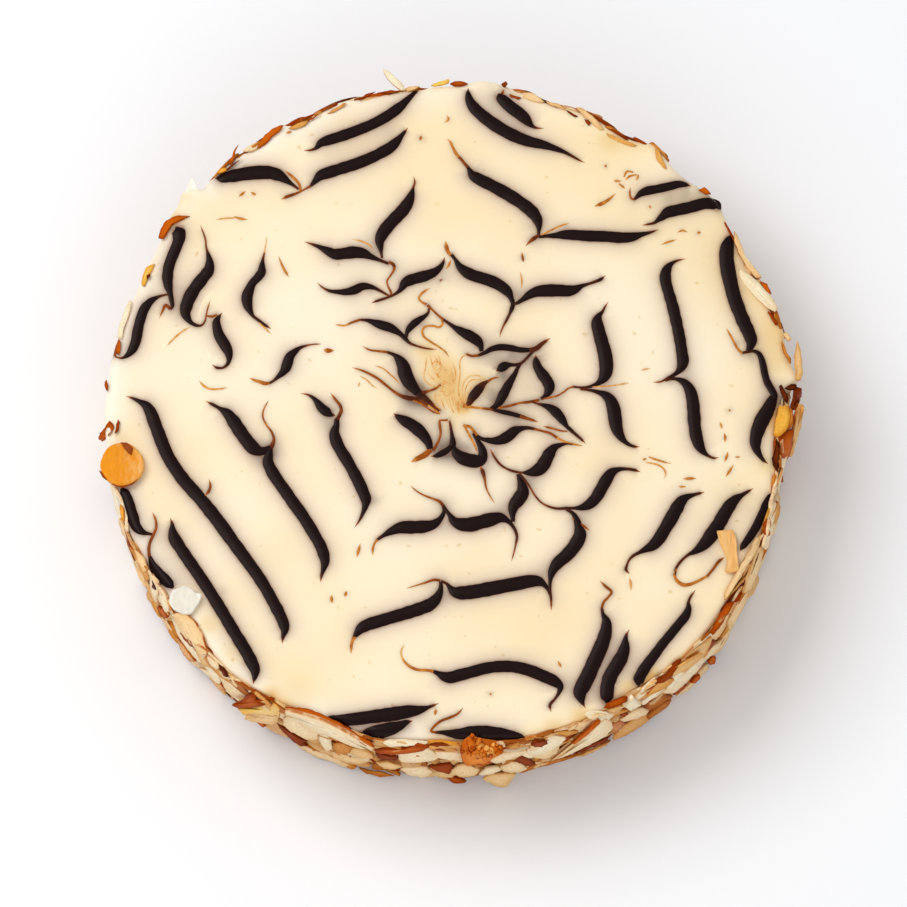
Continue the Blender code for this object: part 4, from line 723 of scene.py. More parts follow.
RIM_STEPS = 720
RIM_BEARINGS = np.arange(RIM_STEPS) * 360 / RIM_STEPS
EDGE_LEVELS = (38.0, 39.0)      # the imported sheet's points between these heights are its edge
RIM_SMOOTHING = 1.2             # degrees
SMOOTHING_STEPS = np.arange(-8, 9)
ROLL_WIDTH = 2.6                # the edge rounds off over this width
ROLL_DROP = 1.5
ICING_LOBES = (                 # (bearing, how far the edge bulges there, half width)
    (5.2, 2.8, 1.9), (8, 0.9, 2.2), (15, 1.1, 2.5), (42, 0.9, 4), (54, 1.4, 2.5), (66, 1.1, 4),
    (76, 0.8, 4), (85, 1.5, 4), (109, 1.3, 3), (120, 1.5, 3), (129, 0.8, 3), (139.6, 1.0, 1.5),
    (136.7, -2.0, 0.8), (144, 0.8, 3))
WAVE_HEIGHT, WAVE_LENGTH, WAVE_SEED = 0.22, 26.0, 7.3   # the pour isn't quite level
RIPPLE, RIPPLE_FINENESS, RIPPLE_SEED = 0.35, 2.6, 1.9   # smaller waves on the slow ones


def swollen(radius, bearing, swells):
    """radius with each (bearing, how far it bulges there, half width) added."""
    for middle, swell, spread in swells:
        apart = (bearing - middle + 180) % 360 - 180
        radius = radius + swell * np.exp(-(apart / spread) ** 2)
    return radius


def rim_radii():
    """The icing's outline, a radius at each of RIM_BEARINGS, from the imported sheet."""
    points = np.array([vertex.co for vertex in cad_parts["fondant_icing"].data.vertices]) / MM
    edge = points[(points[:, 2] > EDGE_LEVELS[0]) & (points[:, 2] < EDGE_LEVELS[1])]
    bearings = np.degrees(np.arctan2(edge[:, 1], edge[:, 0])) % 360
    radii = np.interp(RIM_BEARINGS, bearings, np.hypot(edge[:, 0], edge[:, 1]), period=360)
    weights = np.exp(-0.5 * (SMOOTHING_STEPS * 360 / RIM_STEPS / RIM_SMOOTHING) ** 2)
    smooth = sum(w * np.roll(radii, s) for w, s in zip(weights, SMOOTHING_STEPS)) / weights.sum()
    return swollen(smooth, RIM_BEARINGS, ICING_LOBES)


RIM_RADII = rim_radii()


def rim(x, y):
    """Radius of the icing's outline at the bearing of (x, y)."""
    return np.interp(np.degrees(np.arctan2(y, x)) % 360, RIM_BEARINGS, RIM_RADII, period=360)


def wave(x, y):
    """The slow rise and fall of the pour."""
    heights = []
    for u, v in np.stack((np.ravel(x), np.ravel(y)), 1) / WAVE_LENGTH:
        ripple = noise.noise((RIPPLE_FINENESS * u, RIPPLE_FINENESS * v, RIPPLE_SEED))
        heights.append(noise.noise((u, v, WAVE_SEED)) + RIPPLE * ripple)
    return WAVE_HEIGHT * np.reshape(heights, np.shape(x))


def icing_height(x, y):
    """Height of the icing at (x, y): nearly level, rounded off at the rim."""
    inside = rim(x, y) - np.hypot(x, y)
    share = np.clip(1 - inside / ROLL_WIDTH, 0, 1)
    return TOP + wave(x, y) - ROLL_DROP * (1 - np.sqrt(1 - share ** 2))


# ---------------------------------------------------------------- chocolate lines

STROKE_STEP = 0.5               # between the points along a line
STROKE_ACROSS = np.array((-1, -0.93, -0.84, -0.68, -0.36, 0, 0.36, 0.68, 0.84, 0.93, 1))
STROKE_FRINGE = 0.5             # how much paler a line's colour is at its very edge
FRINGE_FROM, FRINGE_TO = 0.7, 0.98      # shares of the way from its middle
STROKE_SINK = 0.07              # a line's edge ends this far inside the icing
STROKE_ROOT = 0.6               # and its sides go down this far
STROKE_FULLNESS = 2.1           # 2 is a round section, more is flatter on top
STROKE_THINNEST = 0.3
STROKE_DEPTHS = {               # (width, depth of colour) for each kind of line
    "dark": ((0.3, 0.26), (0.6, 0.45), (0.9, 0.66), (1.4, 1.0)),
    "brown": ((0.3, 0.2), (0.7, 0.34), (1.3, 0.52), (2.4, 0.72)),
    "amber": ((0.2, 0.1), (0.7, 0.2), (1.3, 0.28), (2.0, 0.34)),
    "tan": ((0.2, 0.06), (0.7, 0.12), (1.3, 0.16), (2.0, 0.2)),
    "faint": ((0.2, 0.04), (2.0, 0.1))}
TAPER_LENGTH, TAPER_SHARE = 1.5, 0.35   # a free end thins over this length, or share of a short line
TAPER_TIP = 0.3                 # share of the width left at its very tip
TAPER_LEAD = -0.1               # the thinning runs this share of its length past the end
WOBBLE, WOBBLE_FINENESS, WOBBLE_SEED = 0.08, 0.6, 3.1   # a line's width isn't quite even
JOINED_WITHIN = 0.9             # an end this close to another line runs on into it
STROKE_LOW, STROKE_RISE, STROKE_TALLEST = 0.12, 0.07, 0.4   # height, and how it grows with width


def drawn_paths():
    """Each line's x, y and width along its length; free ends are drawn out thin."""
    paths = [spline(rows, STROKE_STEP) for _, *rows in STROKES]
    for number, path in enumerate(paths):
        others = np.concatenate([other[:, :2] for place, other in enumerate(paths) if place != number])
        walked = np.concatenate(((0,), np.cumsum(np.hypot(*np.diff(path[:, :2], axis=0).T))))
        ragged = [noise.noise((WOBBLE_FINENESS * x, WOBBLE_FINENESS * y, WOBBLE_SEED))
                  for x, y in path[:, :2]]
        path[:, 2] = np.maximum(path[:, 2], STROKE_THINNEST) * (1 + WOBBLE * np.array(ragged))
        reach = min(TAPER_LENGTH, TAPER_SHARE * walked[-1])
        for end, distance in ((path[0], walked), (path[-1], walked[-1] - walked)):
            if np.hypot(*(others - end[:2]).T).min() > JOINED_WITHIN:
                share = smoothstep(TAPER_LEAD * reach, reach, distance)
                path[:, 2] *= TAPER_TIP + (1 - TAPER_TIP) * share
    return paths


PATHS = drawn_paths()


def ribbon(kind, path):
    """One line's points, faces and depth of colour, along a path of x, y, width."""
    count, across = len(path), len(STROKE_ACROSS)
    side, width = sideways(path), path[:, 2]
    height = np.clip(STROKE_LOW + STROKE_RISE * width, 0, STROKE_TALLEST)
    half = width / 2 / (1 - STROKE_SINK / height) ** (1 / STROKE_FULLNESS)
    spread = path[:, None, :2] + side[:, None] * (half[:, None] * STROKE_ACROSS)[..., None]
    ground = icing_height(spread[..., 0], spread[..., 1])
    crown = height[:, None] * (1 - np.abs(STROKE_ACROSS) ** STROKE_FULLNESS) - STROKE_SINK
    upper = np.concatenate((spread, (ground + crown)[..., None]), 2)
    feet = [across - 3, 2]
    lower = upper[:, feet].copy()
    lower[..., 2] = ground[:, feet] - STROKE_ROOT
    points = np.concatenate((upper, lower), 1).reshape(-1, 3)
    ring = across + 2
    here = np.arange(count - 1)[:, None] * ring + np.arange(ring)
    after = np.arange(count - 1)[:, None] * ring + (np.arange(ring) + 1) % ring
    quads = np.stack((here, here + ring, after + ring, after), 2).reshape(-1, 4)
    fan = np.arange(1, ring - 1)
    first = np.stack((np.zeros_like(fan), fan, fan + 1), 1)
    last = (count - 1) * ring + np.stack((np.zeros_like(fan), fan + 1, fan), 1)
    widths, depths = zip(*STROKE_DEPTHS[kind])
    fringe = smoothstep(FRINGE_FROM, FRINGE_TO, np.abs(STROKE_ACROSS))
    depth = np.interp(width, widths, depths)[:, None] * (1 - STROKE_FRINGE * fringe)
    depth = np.concatenate((depth, depth[:, feet]), 1).ravel()
    return points, quads, np.concatenate((first, last)), depth


def make_strokes():
    """All the chocolate lines, swirls and flecks."""
    parts = [ribbon(kind, path) for (kind, *_), path in zip(STROKES, PATHS)]
    points, quads, tris, depth = gather(parts)
    return make_piece(
        "feathered_chocolate_lines", points, quads, tris, chocolate_material(), depth=depth)


# ---------------------------------------------------------------- poured icing

HALO_REACH = 2.7                # the icing is greyer this far from a line
HALO_FALL = 1.6                 # how sharply that ends
HALO = 0.54
HALO_WIDTHS = (-0.3, 2.6)       # no halo round a line of the first width, a full one at the second
SHADE = 1.6                     # how much darker the halos of two lines are together
DEEPEST_SHADE = 0.8
BLEED_REACH = 0.5               # colour that has run out of a line
BLEED = {"dark": 0.7, "brown": 0.55, "amber": 0.3, "tan": 0.2, "faint": 0.12}
BLEED_WIDTHS = (0, 0.8)         # as HALO_WIDTHS
FIELD_REACH = 6.0               # a line colours nothing beyond this
PAINTED_LIGHT = 0.8                      # painted light: the rim is paler towards the left, where the key light falls on it
PAINTED_LIGHT_INSIDE, PAINTED_LIGHT_ACROSS = (8, 0.5), (50, -60)  # from none to all: inside the rim, and along x
STAINS = (                      # where syrup shows through or swirls were drawn: x, y, radius, strength
    (-2.4, 12, 5, 0.34), (-1.2, 8.2, 3.8, 0.52), (0.1, 4.4, 3.6, 0.46), (2.9, 1.1, 2.4, 0.85),
    (-3.7, 2.4, 2.5, 0.35), (7, 7.5, 3.4, 0.3), (0.1, -4.3, 3, 0.22), (-6.8, 16, 3, 0.3),
    (-7.5, 9.5, 2.6, 0.12), (82.5, -2.5, 4, 0.5), (80.5, -15.5, 2.5, 0.25), (84.5, 22, 6, 0.3),
    (80, 32, 6, 0.2), (83.5, 12, 4, 0.2), (48, 74, 6, 0.25), (40.5, 73, 4, 0.3), (26, -86, 3.5, 0.4),
    (33, -82.5, 3, 0.45), (20, -88, 3, 0.3), (45, -75, 2.5, 0.4), (51, -72.5, 3, 0.7),
    (41, -77, 2, 0.3), (57.5, -68.5, 2.5, 0.3), (72.5, -48.5, 3, 0.3), (-1, -89, 4, 0.3),
    (-46, -77, 2.5, 0.5), (-42.5, -79.5, 2, 0.4), (-62, -58, 3.5, 0.3), (-56, -66, 3.5, 0.22),
    (71, 50, 16, 0.2), (71, 33, 14, 0.17), (53, 43, 14, 0.1), (-68, 52, 9, 0.12), (-39, -76, 8, 0.24),
    (73, -21, 10, 0.12), (84, 17, 6, 0.2), (-84.5, -7.5, 3, 0.25), (-78, 38.5, 2.5, 0.2),
    (-73.5, 52, 3.5, 0.35), (-69.5, 58, 3, 0.2), (77, -38, 3, 0.2))
GREYS = (                       # where the icing is greyer between the lines: x, y, radius, strength
    (56.5, 57.4, 2, 0.3), (60.5, 58.1, 2.4, 0.45), (64.5, 59, 2, 0.4), (11.7, 2.7, 2.2, 0.35),
    (9.4, 6.2, 2.4, 0.25), (11.2, 13.5, 2.4, 0.2), (19.6, 5.6, 3, 0.12), (6, -5.7, 2, 0.2),
    (-1.9, -6.2, 2.2, 0.2), (4.3, -10.4, 1.4, 0.3), (-1.4, -11, 1.4, 0.25), (-17, 78, 3, 0.12),
    (13.5, 8.9, 1.6, 0.4), (16, 14.1, 1.6, 0.4), (16.8, 30.5, 1.4, 0.35), (77.1, 14.3, 1.6, 0.35),
    (-19.4, 42.4, 1.4, 0.3), (-19.9, -24.6, 1.4, 0.3), (-7.3, 22.7, 1.3, 0.3), (29.4, 49.5, 1.2, 0.25),
    (52.9, 48.6, 1.4, 0.35), (56.3, 7, 1.2, 0.2), (-20.9, 31.6, 1.2, 0.2), (75.3, 32.4, 1.6, 0.3),
    (73.2, 17.8, 1.2, 0.3), (-58.6, -49.2, 1.4, 0.2), (41.2, -67.8, 2.5, 0.2), (37.6, -76, 2, 0.2))


def spotted(field, spots, x, y):
    """A field with round spots of (x, y, radius, strength) laid over it."""
    for spot_x, spot_y, radius, strength in spots:
        share = strength * np.exp(-((x - spot_x) ** 2 + (y - spot_y) ** 2) / radius ** 2)
        field = 1 - (1 - field) * (1 - share)
    return field


def icing_colour_fields(x, y):
    """Halo, bleed, amber, shade and painted light on the left rim at each place on the icing."""
    halo, bleed, total, squares, bare = np.zeros((5, len(x)))
    for (kind, *_), path in zip(STROKES, PATHS):
        low, high = path[:, :2].min(0) - FIELD_REACH, path[:, :2].max(0) + FIELD_REACH
        near = np.flatnonzero((x > low[0]) & (x < high[0]) & (y > low[1]) & (y < high[1]))
        if not len(near):
            continue
        away = np.hypot(x[near, None] - path[:, 0], y[near, None] - path[:, 1]) - path[:, 2] / 2
        nearest = away.argmin(1)
        gap = np.maximum(away[np.arange(len(near)), nearest], 0)
        width = path[nearest, 2]
        share = HALO * smoothstep(*HALO_WIDTHS, width) * (kind in ("dark", "brown"))
        own = share * np.exp(-(gap / HALO_REACH) ** HALO_FALL)
        halo[near] = 1 - (1 - halo[near]) * (1 - own)
        total[near] += own
        squares[near] += own * own
        share = BLEED[kind] * smoothstep(*BLEED_WIDTHS, width)
        bleed[near] = np.maximum(bleed[near], share * np.exp(-gap / BLEED_REACH))
    together = SHADE * (total * total - squares) / 2
    shade = np.clip(spotted(bare, GREYS, x, y) + together, 0, DEEPEST_SHADE)
    inside = rim(x, y) - np.hypot(x, y)
    # painted light: paler near the rim, and more so towards the left
    painted_light = PAINTED_LIGHT * smoothstep(*PAINTED_LIGHT_INSIDE, inside) * smoothstep(*PAINTED_LIGHT_ACROSS, x)
    return dict(halo=halo, bleed=bleed, amber=spotted(bare, STAINS, x, y), shade=shade, painted_light=painted_light)


OUTLINE_STEPS = 720
EDGE_OFFSETS = (0, 0.12, 0.3, 0.6, 1.0, 1.5, 2.1, 2.8, 3.8)     # rings inside the rim
EDGE_GAP = 0.3                  # no loose point is closer to the last ring
GRID_REACH = 90                 # the loose grid covers the icing to this far from its middle
OPEN_SPACING = 1.8              # between points where the icing is bare
LINE_OFFSETS = (-0.15, 0.1, 0.3, 0.6, 1.0, 1.6, 2.5)            # rows of points beside each line
FINEST = 0.22                   # of the loose points within this, one is kept
UNDER_EDGE = ((-0.12, 0.3), (0.02, 0.62), (0.5, 0.9), (1.4, 1.0))   # (inset, share of the way down)
MERGING = 1e-5                  # points closer than this are one


def icing_points(angles, outline):
    """Points over the icing's top: rings at the rim, rows beside the lines, a loose grid between."""
    rings = [np.stack(((outline - inset) * np.cos(angles), (outline - inset) * np.sin(angles)), 1)
             for inset in EDGE_OFFSETS]
    loose = []
    for path in PATHS:
        side = sideways(path)
        for offset in LINE_OFFSETS:
            for way in (-1, 1):
                loose.append(path[:, :2] + side * (way * (path[:, 2] / 2 + offset))[:, None])
    rows = np.arange(-GRID_REACH, GRID_REACH, OPEN_SPACING)
    grid = np.stack(np.meshgrid(rows, rows), 2)
    grid[::2, :, 0] += OPEN_SPACING / 2
    loose = np.concatenate(loose + [grid.reshape(-1, 2)])
    inside = rim(loose[:, 0], loose[:, 1]) - np.hypot(loose[:, 0], loose[:, 1])
    loose = loose[inside > EDGE_OFFSETS[-1] + EDGE_GAP]
    _, first = np.unique(np.round(loose / FINEST).astype(int), axis=0, return_index=True)
    return np.concatenate(rings + [loose[np.sort(first)]])


def make_icing():
    """The poured sheet: fine beside the lines, with a rounded lip and a plain underside."""
    angles = turning(OUTLINE_STEPS)
    outline = rim(np.cos(angles), np.sin(angles))
    flat = [Vector(place) for place in icing_points(angles, outline)]
    found, _, faces, origins, _, _ = geometry.delaunay_2d_cdt(
        flat, [], [list(range(OUTLINE_STEPS))], 1, MERGING)
    place = np.array([tuple(point) for point in found])
    top = np.column_stack((place, icing_height(place[:, 0], place[:, 1])))
    edge = {origin: index for index, sources in enumerate(origins) for origin in sources}
    edge = np.array([edge[index] for index in range(OUTLINE_STEPS)])
    rings, index = [top], [edge]
    lip_top = top[edge, 2]
    for inset, share in UNDER_EDGE:
        radius = outline - inset
        height = lip_top + (SHEET_FOOT - lip_top) * share
        index.append(np.arange(OUTLINE_STEPS) + sum(len(ring) for ring in rings))
        rings.append(np.stack((radius * np.cos(angles), radius * np.sin(angles), height), 1))
    points = np.concatenate(rings + [[(0, 0, SHEET_FOOT)]])
    index = np.array(index)
    onward = np.roll(index, -1, 1)
    quads = np.stack((index[:-1], index[1:], onward[1:], onward[:-1]), 2).reshape(-1, 4)
    under = np.stack((np.full(OUTLINE_STEPS, len(points) - 1), onward[-1], index[-1]), 1)
    icing = make_piece("poured_icing", points, quads, np.concatenate((np.array(faces), under)),
                       icing_material(), **icing_colour_fields(points[:, 0], points[:, 1]))
    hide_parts("fondant_icing")


# ---------------------------------------------------------------- almonds round the side

LEAF_POINTS = 16
LEAF_RINGS = (                  # (share of the outline, share of half the thickness)
    (0.5, -1.0), (0.955, -1.0), (1.0, -0.55), (1.0, 0.55), (0.955, 1.0), (0.5, 1.0))
TOAST = 0.3                     # how much darker a flake is at its rim than in its middle
SKINNED = 0.96                  # rings beyond this share of the outline keep brown skin
ALMOND_FIELDS = ("tone", "skin", "across", "along")


def leaf(outline, thickness, tone, skin=0.0, bulge=0.0):
    """One flake: its outline carried inwards over both faces, with ALMOND_FIELDS at each point.

    skin is how much brown skin its edge keeps, and above 1 it covers the faces as well.
    """
    outline = np.asarray(outline, float)
    count = len(outline)
    middle = outline.mean(0)
    arms = outline - middle
    normal = np.cross(arms, np.roll(arms, -1, 0)).sum(0)
    normal /= np.linalg.norm(normal)
    middle = middle - normal * bulge
    arms = outline - middle
    half = normal * thickness / 2
    face_skin = max(0.0, skin - 1)
    rings, skins, tones = [], [], []
    for share, lift in LEAF_RINGS:
        inward = arms - normal * (arms @ normal)[:, None] * (1 - share)
        rings.append(middle + inward * share + half * lift)
        skins.append(np.full(count, skin * (share > SKINNED) + face_skin))
        tones.append(np.full(count, tone + TOAST * (share ** 4 - 0.5)))
    points = np.concatenate(rings + [[middle - half], [middle + half]])
    _, _, axes = np.linalg.svd(arms, full_matrices=False)
    along, across = (points - middle) @ axes[0], (points - middle) @ axes[1]
    skins = np.concatenate(skins + [np.full(2, face_skin)])
    tones = np.concatenate(tones + [np.full(2, tone - TOAST / 2)])
    return points, *closed_rings(len(LEAF_RINGS), count), tones, np.clip(skins, 0, 1), across, along


NARROWING = 0.36                # a slice is narrower towards its pointed end
BLUNTNESS = 0.12                # how much fuller its sides are than an oval's
BREAK_TURN = 0.6                # a break is square to the slice, give or take this
BREAK_PLACES = (0.12, 0.8)      # share of the way out from its middle
CHIPPED = 0.1                   # how far its outline strays


def almond_outline(rng, lengths, widths, breaks):
    """Points round a slice: a pointed oval, snapped off straight at some breaks."""
    length, width, breaks = rng.uniform(*lengths), rng.uniform(*widths), rng.choice(breaks)
    turn = turning(LEAF_POINTS)
    along = np.cos(turn) * length / 2
    narrow = 1 - NARROWING * (along / length + 0.5) ** 2
    across = np.sin(turn) * np.abs(np.sin(turn)) ** BLUNTNESS * width / 2 * narrow
    for _ in range(breaks):
        facing = rng.choice((0, math.pi)) + rng.gauss(0, BREAK_TURN)
        reach = math.hypot(math.cos(facing) * length, math.sin(facing) * width)
        limit = rng.uniform(*BREAK_PLACES) * reach / 2
        reach = along * math.cos(facing) + across * math.sin(facing)
        kept = limit / np.maximum(reach, limit)
        along, across = along * kept, across * kept
    along = along + [rng.gauss(0, CHIPPED) for _ in turn]
    return along, across + [rng.gauss(0, CHIPPED) for _ in turn]


LAYERS = ((3.2, 60), (2.4, 66), (1.6, 66), (0.9, 66))   # (depth under the outermost, flakes in a row)
ROWS = 6                        # in each layer
FLAKE_FOOT = 4.2                # middle of the lowest row
FLAKE_HEAD = 34.5               # middle of the highest row
LOWEST_FLAKE, TALLEST = FLOOR_CLEARANCE + 0.6, 40.6     # no flake of the rule passes these
FLAKE_SEED = 41
FLAKE_SHAPE = (12.5, 18.5), (6, 9.6), (0, 1, 1, 2, 3)       # length, width, how many breaks
FLAKE_THICKNESS = (0.5, 0.85)
FLAKE_CURL, FLAKE_TWIST = (-0.004, 0.014), (-0.010, 0.010)
FLAKE_LEAN, FLAKE_YAW = (-3, 7.5, -22, 16), (0, 6, -12, 12)     # middle, spread and limits, degrees
ROW_SCATTER = 3                 # a flake lies up to this far above or below its row
PLACE_SCATTER = 0.4             # and up to this share of the step to one side
FOOT_TUCK = 0.5                 # near the floor flakes stand out less by this share, from none of it
FOOT_TUCK_HEIGHTS = (14, 4)     # at the first height to all at the second
RIM_MARGIN, HALF_FLAKE = 0.2, 0.6       # flakes above the cake stay this far outside the icing
FURTHEST_PUSH = 2.0             # one that would need a longer push is lowered instead
FOOT_CENTRE, FOOT_RADIUS = (-0.5, -1.0), 86.2   # the round foot of the side
HEAD_OVERLAP = (                # (bearing, how far the almonds pass the icing's edge)
    (0, 0.8), (3, -1.2), (12, -0.8), (16, 0.1), (34, 0.1), (38, -1.2), (48, -1.2), (52, -0.5), (82, -0.5),
    (86, -1.0), (94, -1.0), (98, -0.3), (130, -0.3), (134, -1.2), (195, -1.2), (205, 0.9), (333, 0.9),
    (340, 0.2), (352, 0.2), (360, 0.8))
SWELLS = ((0, 3.8, 6),)         # (bearing, how far the side stands out there, half width)
PROUD = 0.1                     # no flake of the rule stands further out than this
CORE_DEPTH = 4.2                # the cake's own side lies this far under the outermost flakes
SIDE_BOW = 1.4                  # how the side passes from foot to head


def side_radius(bearing, height):
    """How far out the almonds reach, from the middle: the foot is round, the head follows the icing."""
    angle = np.radians(bearing)
    foot = FOOT_RADIUS + FOOT_CENTRE[0] * np.cos(angle) + FOOT_CENTRE[1] * np.sin(angle)
    head = rim(np.cos(angle), np.sin(angle)) + np.interp(np.mod(bearing, 360), *zip(*HEAD_OVERLAP))
    head = swollen(head, np.asarray(bearing), SWELLS)
    return foot + (head - foot) * np.clip(height / TOP, 0, 1) ** SIDE_BOW


def limited(rng, middle, spread, least, greatest):
    """A draw round middle, kept between least and greatest."""
    return max(least, min(greatest, rng.gauss(middle, spread)))


def kept_between(z, lowest, highest):
    """Heights moved together so that they start above lowest and end below highest."""
    return z + (max(0.0, lowest - z.min()) - max(0.0, z.max() - highest))


def side_flake(rng, bearing, height, depth):
    """One flake against the side, kept off the floor and out of the icing."""
    u, v = almond_outline(rng, *FLAKE_SHAPE)
    curl, twist = rng.uniform(*FLAKE_CURL), rng.uniform(*FLAKE_TWIST)
    w = curl * u ** 2 + twist * u * v
    across, up = turned(u, v, rng.uniform(0, 2 * math.pi))
    lean = math.radians(limited(rng, *FLAKE_LEAN))
    yaw = math.radians(limited(rng, *FLAKE_YAW))
    outward = w + up * math.sin(lean) + across * math.sin(yaw)
    z = kept_between(height + up * math.cos(lean), LOWEST_FLAKE, TALLEST)
    outward = outward - np.clip(outward, 0, None) * FOOT_TUCK * smoothstep(*FOOT_TUCK_HEIGHTS, z)
    outward = np.minimum(outward, depth + PROUD)
    radial, aside = outward_and_aside(bearing)
    start = radial * (side_radius(bearing, z.mean()) - depth)
    flat = start + radial * outward[:, None] + aside * (across * math.cos(yaw))[:, None]
    high = z > CORE_TOP
    if high.any():
        gap = rim(flat[:, 0], flat[:, 1]) + RIM_MARGIN + HALF_FLAKE - np.hypot(flat[:, 0], flat[:, 1])
        push = gap[high].max()
        if push > FURTHEST_PUSH:
            z = z - (z.max() - CORE_TOP)
        elif push > 0:
            flat = flat + radial * push
    return np.column_stack((flat, z)), curl * np.mean(u ** 2)


KINDS = (                       # (kind, share of the flakes, how much brown skin an edge may keep)
    ("cream", 0.34, (0.2, 0.7, 1)), ("tan", 0.34, (0.3, 0.8, 1)), ("toasted", 0.2, (0.5, 0.8, 1)),
    ("skin", 0.09, (0.4,)), ("amber", 0.03, (0, 0.8)))


def draw_kind(rng):
    """A kind by its share, and how much skin the flake has."""
    draw = rng.random()
    for kind, share, skins in KINDS:
        draw -= share
        if draw < 0:
            break
    return kind, rng.choice(skins)


TONE_RANGE, PAINTED_SHADE_BY_DEPTH, PAINTED_SHADE_BY_HEIGHT = 0.85, 0.09, 0.2     # painted shade: a flake is darker deep under the others and low down near the floor
RIM_SHARDS = (                  # bearings from, to, how many, share toasted, how far out
    (200, 362, 105, 0.0, 0.5), (97, 133, 34, 0.7, -0.3), (52, 82, 22, 0.5, -0.3), (15, 34, 14, 0.3, -0.1))
SHARD_SHAPE = (7, 15), (5, 8), (0, 1, 2)        # as FLAKE_SHAPE
SHARD_THICKNESS = (0.5, 0.8)
SHARD_LEAN = (-4, 12)           # degrees
SHARD_YAW, SHARD_TIP = (0, 5), (0, 14)          # middle and spread in degrees
SHARD_TOPS = (38.6, 40.5)
SHARD_OUT = (-0.3, 0.4)
SHARD_FLARE = 0.4               # share of its lean that moves its foot
SLIVERS = 230                   # thin slices that lie edge on between the larger ones
SLIVER_BEARINGS, SLIVER_HEIGHTS, SLIVER_TOP = (195, 352), (4, 38), 39.2
LOWEST_SLIVER = FLOOR_CLEARANCE + 0.4
SLIVER_SHAPE = (6, 14), (2.4, 4.2), (0, 1, 1, 2)
SLIVER_THICKNESS = (0.4, 0.6)
SLIVER_SLOPE, SLIVER_TIP = (-25, 22), (0, 12)   # middle and spread in degrees
SLIVER_OUT = (0.4, 1.4)


def rim_shard(rng, bearing, proud):
    """A flake that stands close against the icing's edge, its top about level with it."""
    u, v = almond_outline(rng, *SHARD_SHAPE)
    lean = math.radians(rng.uniform(*SHARD_LEAN))
    yaw = math.radians(rng.gauss(*SHARD_YAW))
    across, up = turned(u, v, math.radians(rng.gauss(*SHARD_TIP)))
    z = up + rng.uniform(*SHARD_TOPS) - up.max()
    radial, aside = outward_and_aside(bearing)
    leaning = (up - up.max()) * -math.sin(lean) * SHARD_FLARE
    outward = rng.uniform(*SHARD_OUT) + proud + leaning + across * math.sin(yaw)
    reach = rim(*radial) + outward - across ** 2 / (2 * FOOT_RADIUS)
    return np.column_stack((radial * reach[:, None] + aside * (across * math.cos(yaw))[:, None], z))


def sliver(rng):
    """A narrow slice that juts a little out of the side, nearly level."""
    bearing, height = rng.uniform(*SLIVER_BEARINGS), rng.uniform(*SLIVER_HEIGHTS)
    u, v = almond_outline(rng, *SLIVER_SHAPE)
    slope, tip = math.radians(rng.gauss(*SLIVER_SLOPE)), math.radians(rng.gauss(*SLIVER_TIP))
    along, _ = turned(u, v, tip)
    z = height + u * math.sin(tip) + v * math.sin(slope)
    z = kept_between(z, LOWEST_SLIVER, SLIVER_TOP)
    outward = v * math.cos(slope) - v.max() + rng.uniform(*SLIVER_OUT)
    radial, aside = outward_and_aside(bearing)
    reach = side_radius(bearing, z.mean()) + outward - along ** 2 / (2 * FOOT_RADIUS)
    return np.column_stack((radial * reach[:, None] + aside * along[:, None], z))


def make_side():
    """All the flakes that follow the rule, by kind."""
    rng = random.Random(FLAKE_SEED)
    kinds = {kind: [] for kind, _, _ in KINDS}
    for depth, count in LAYERS:
        for row in range(ROWS):
            height = FLAKE_FOOT + (FLAKE_HEAD - FLAKE_FOOT) * row / (ROWS - 1)
            for place in range(count):
                scatter = rng.uniform(-PLACE_SCATTER, PLACE_SCATTER)
                bearing = (place + 0.5 * (row % 2) + scatter) * 360 / count
                level = height + rng.uniform(-ROW_SCATTER, ROW_SCATTER)
                outline, bulge = side_flake(rng, bearing, level, depth)
                kind, skin = draw_kind(rng)
                # painted shade: flakes deep in the layers and low down get a darker tone
                tone = TONE_RANGE * rng.random() + PAINTED_SHADE_BY_DEPTH * depth
                tone += PAINTED_SHADE_BY_HEIGHT * (1 - height / FLAKE_HEAD)
                kinds[kind].append(leaf(outline, rng.uniform(*FLAKE_THICKNESS), tone, skin, bulge))
    for start, end, count, toasted, proud in RIM_SHARDS:
        for place in range(count):
            scatter = rng.uniform(-PLACE_SCATTER, PLACE_SCATTER)
            bearing = start + (place + scatter) * (end - start) / count
            kind, skin = draw_kind(rng)
            if rng.random() < toasted:
                kind = rng.choice(("toasted", "skin"))
            outline = rim_shard(rng, bearing, proud)
            kinds[kind].append(leaf(outline, rng.uniform(*SHARD_THICKNESS), rng.random(), skin))
    for _ in range(SLIVERS):
        kind, skin = draw_kind(rng)
        kinds[kind].append(leaf(sliver(rng), rng.uniform(*SLIVER_THICKNESS), rng.random(), skin))
    return kinds


CORE_STEPS, CORE_LEVELS = 300, 26       # points round it and up it
CORE_ROUGH, CORE_LUMPS, CORE_GRAIN = 0.9, 26, 3.3       # depth of its lumps, lumps to the radius, height


def make_core():
    """The cream and crumbs that the flakes are pressed into."""
    angles = turning(CORE_STEPS)
    heights = np.linspace(FLOOR_CLEARANCE, CORE_TOP, CORE_LEVELS)
    reach = np.array([side_radius(np.degrees(angles), height) for height in heights])
    ring = [(CORE_LUMPS * math.cos(angle), CORE_LUMPS * math.sin(angle)) for angle in angles]
    rough = np.array([[noise.noise((*place, z / CORE_GRAIN)) for place in ring] for z in heights])
    radius = reach - CORE_DEPTH + CORE_ROUGH * rough
    grid = np.stack((radius * np.cos(angles), radius * np.sin(angles),
                     np.repeat(heights[:, None], CORE_STEPS, 1)), 2)
    points = np.concatenate((grid.reshape(-1, 3), ((0, 0, heights[0]), (0, 0, heights[-1]))))
    return make_piece("cake_side", points, *closed_rings(CORE_LEVELS, CORE_STEPS), core_material())


# ---------------------------------------------------------------- flakes the photograph shows

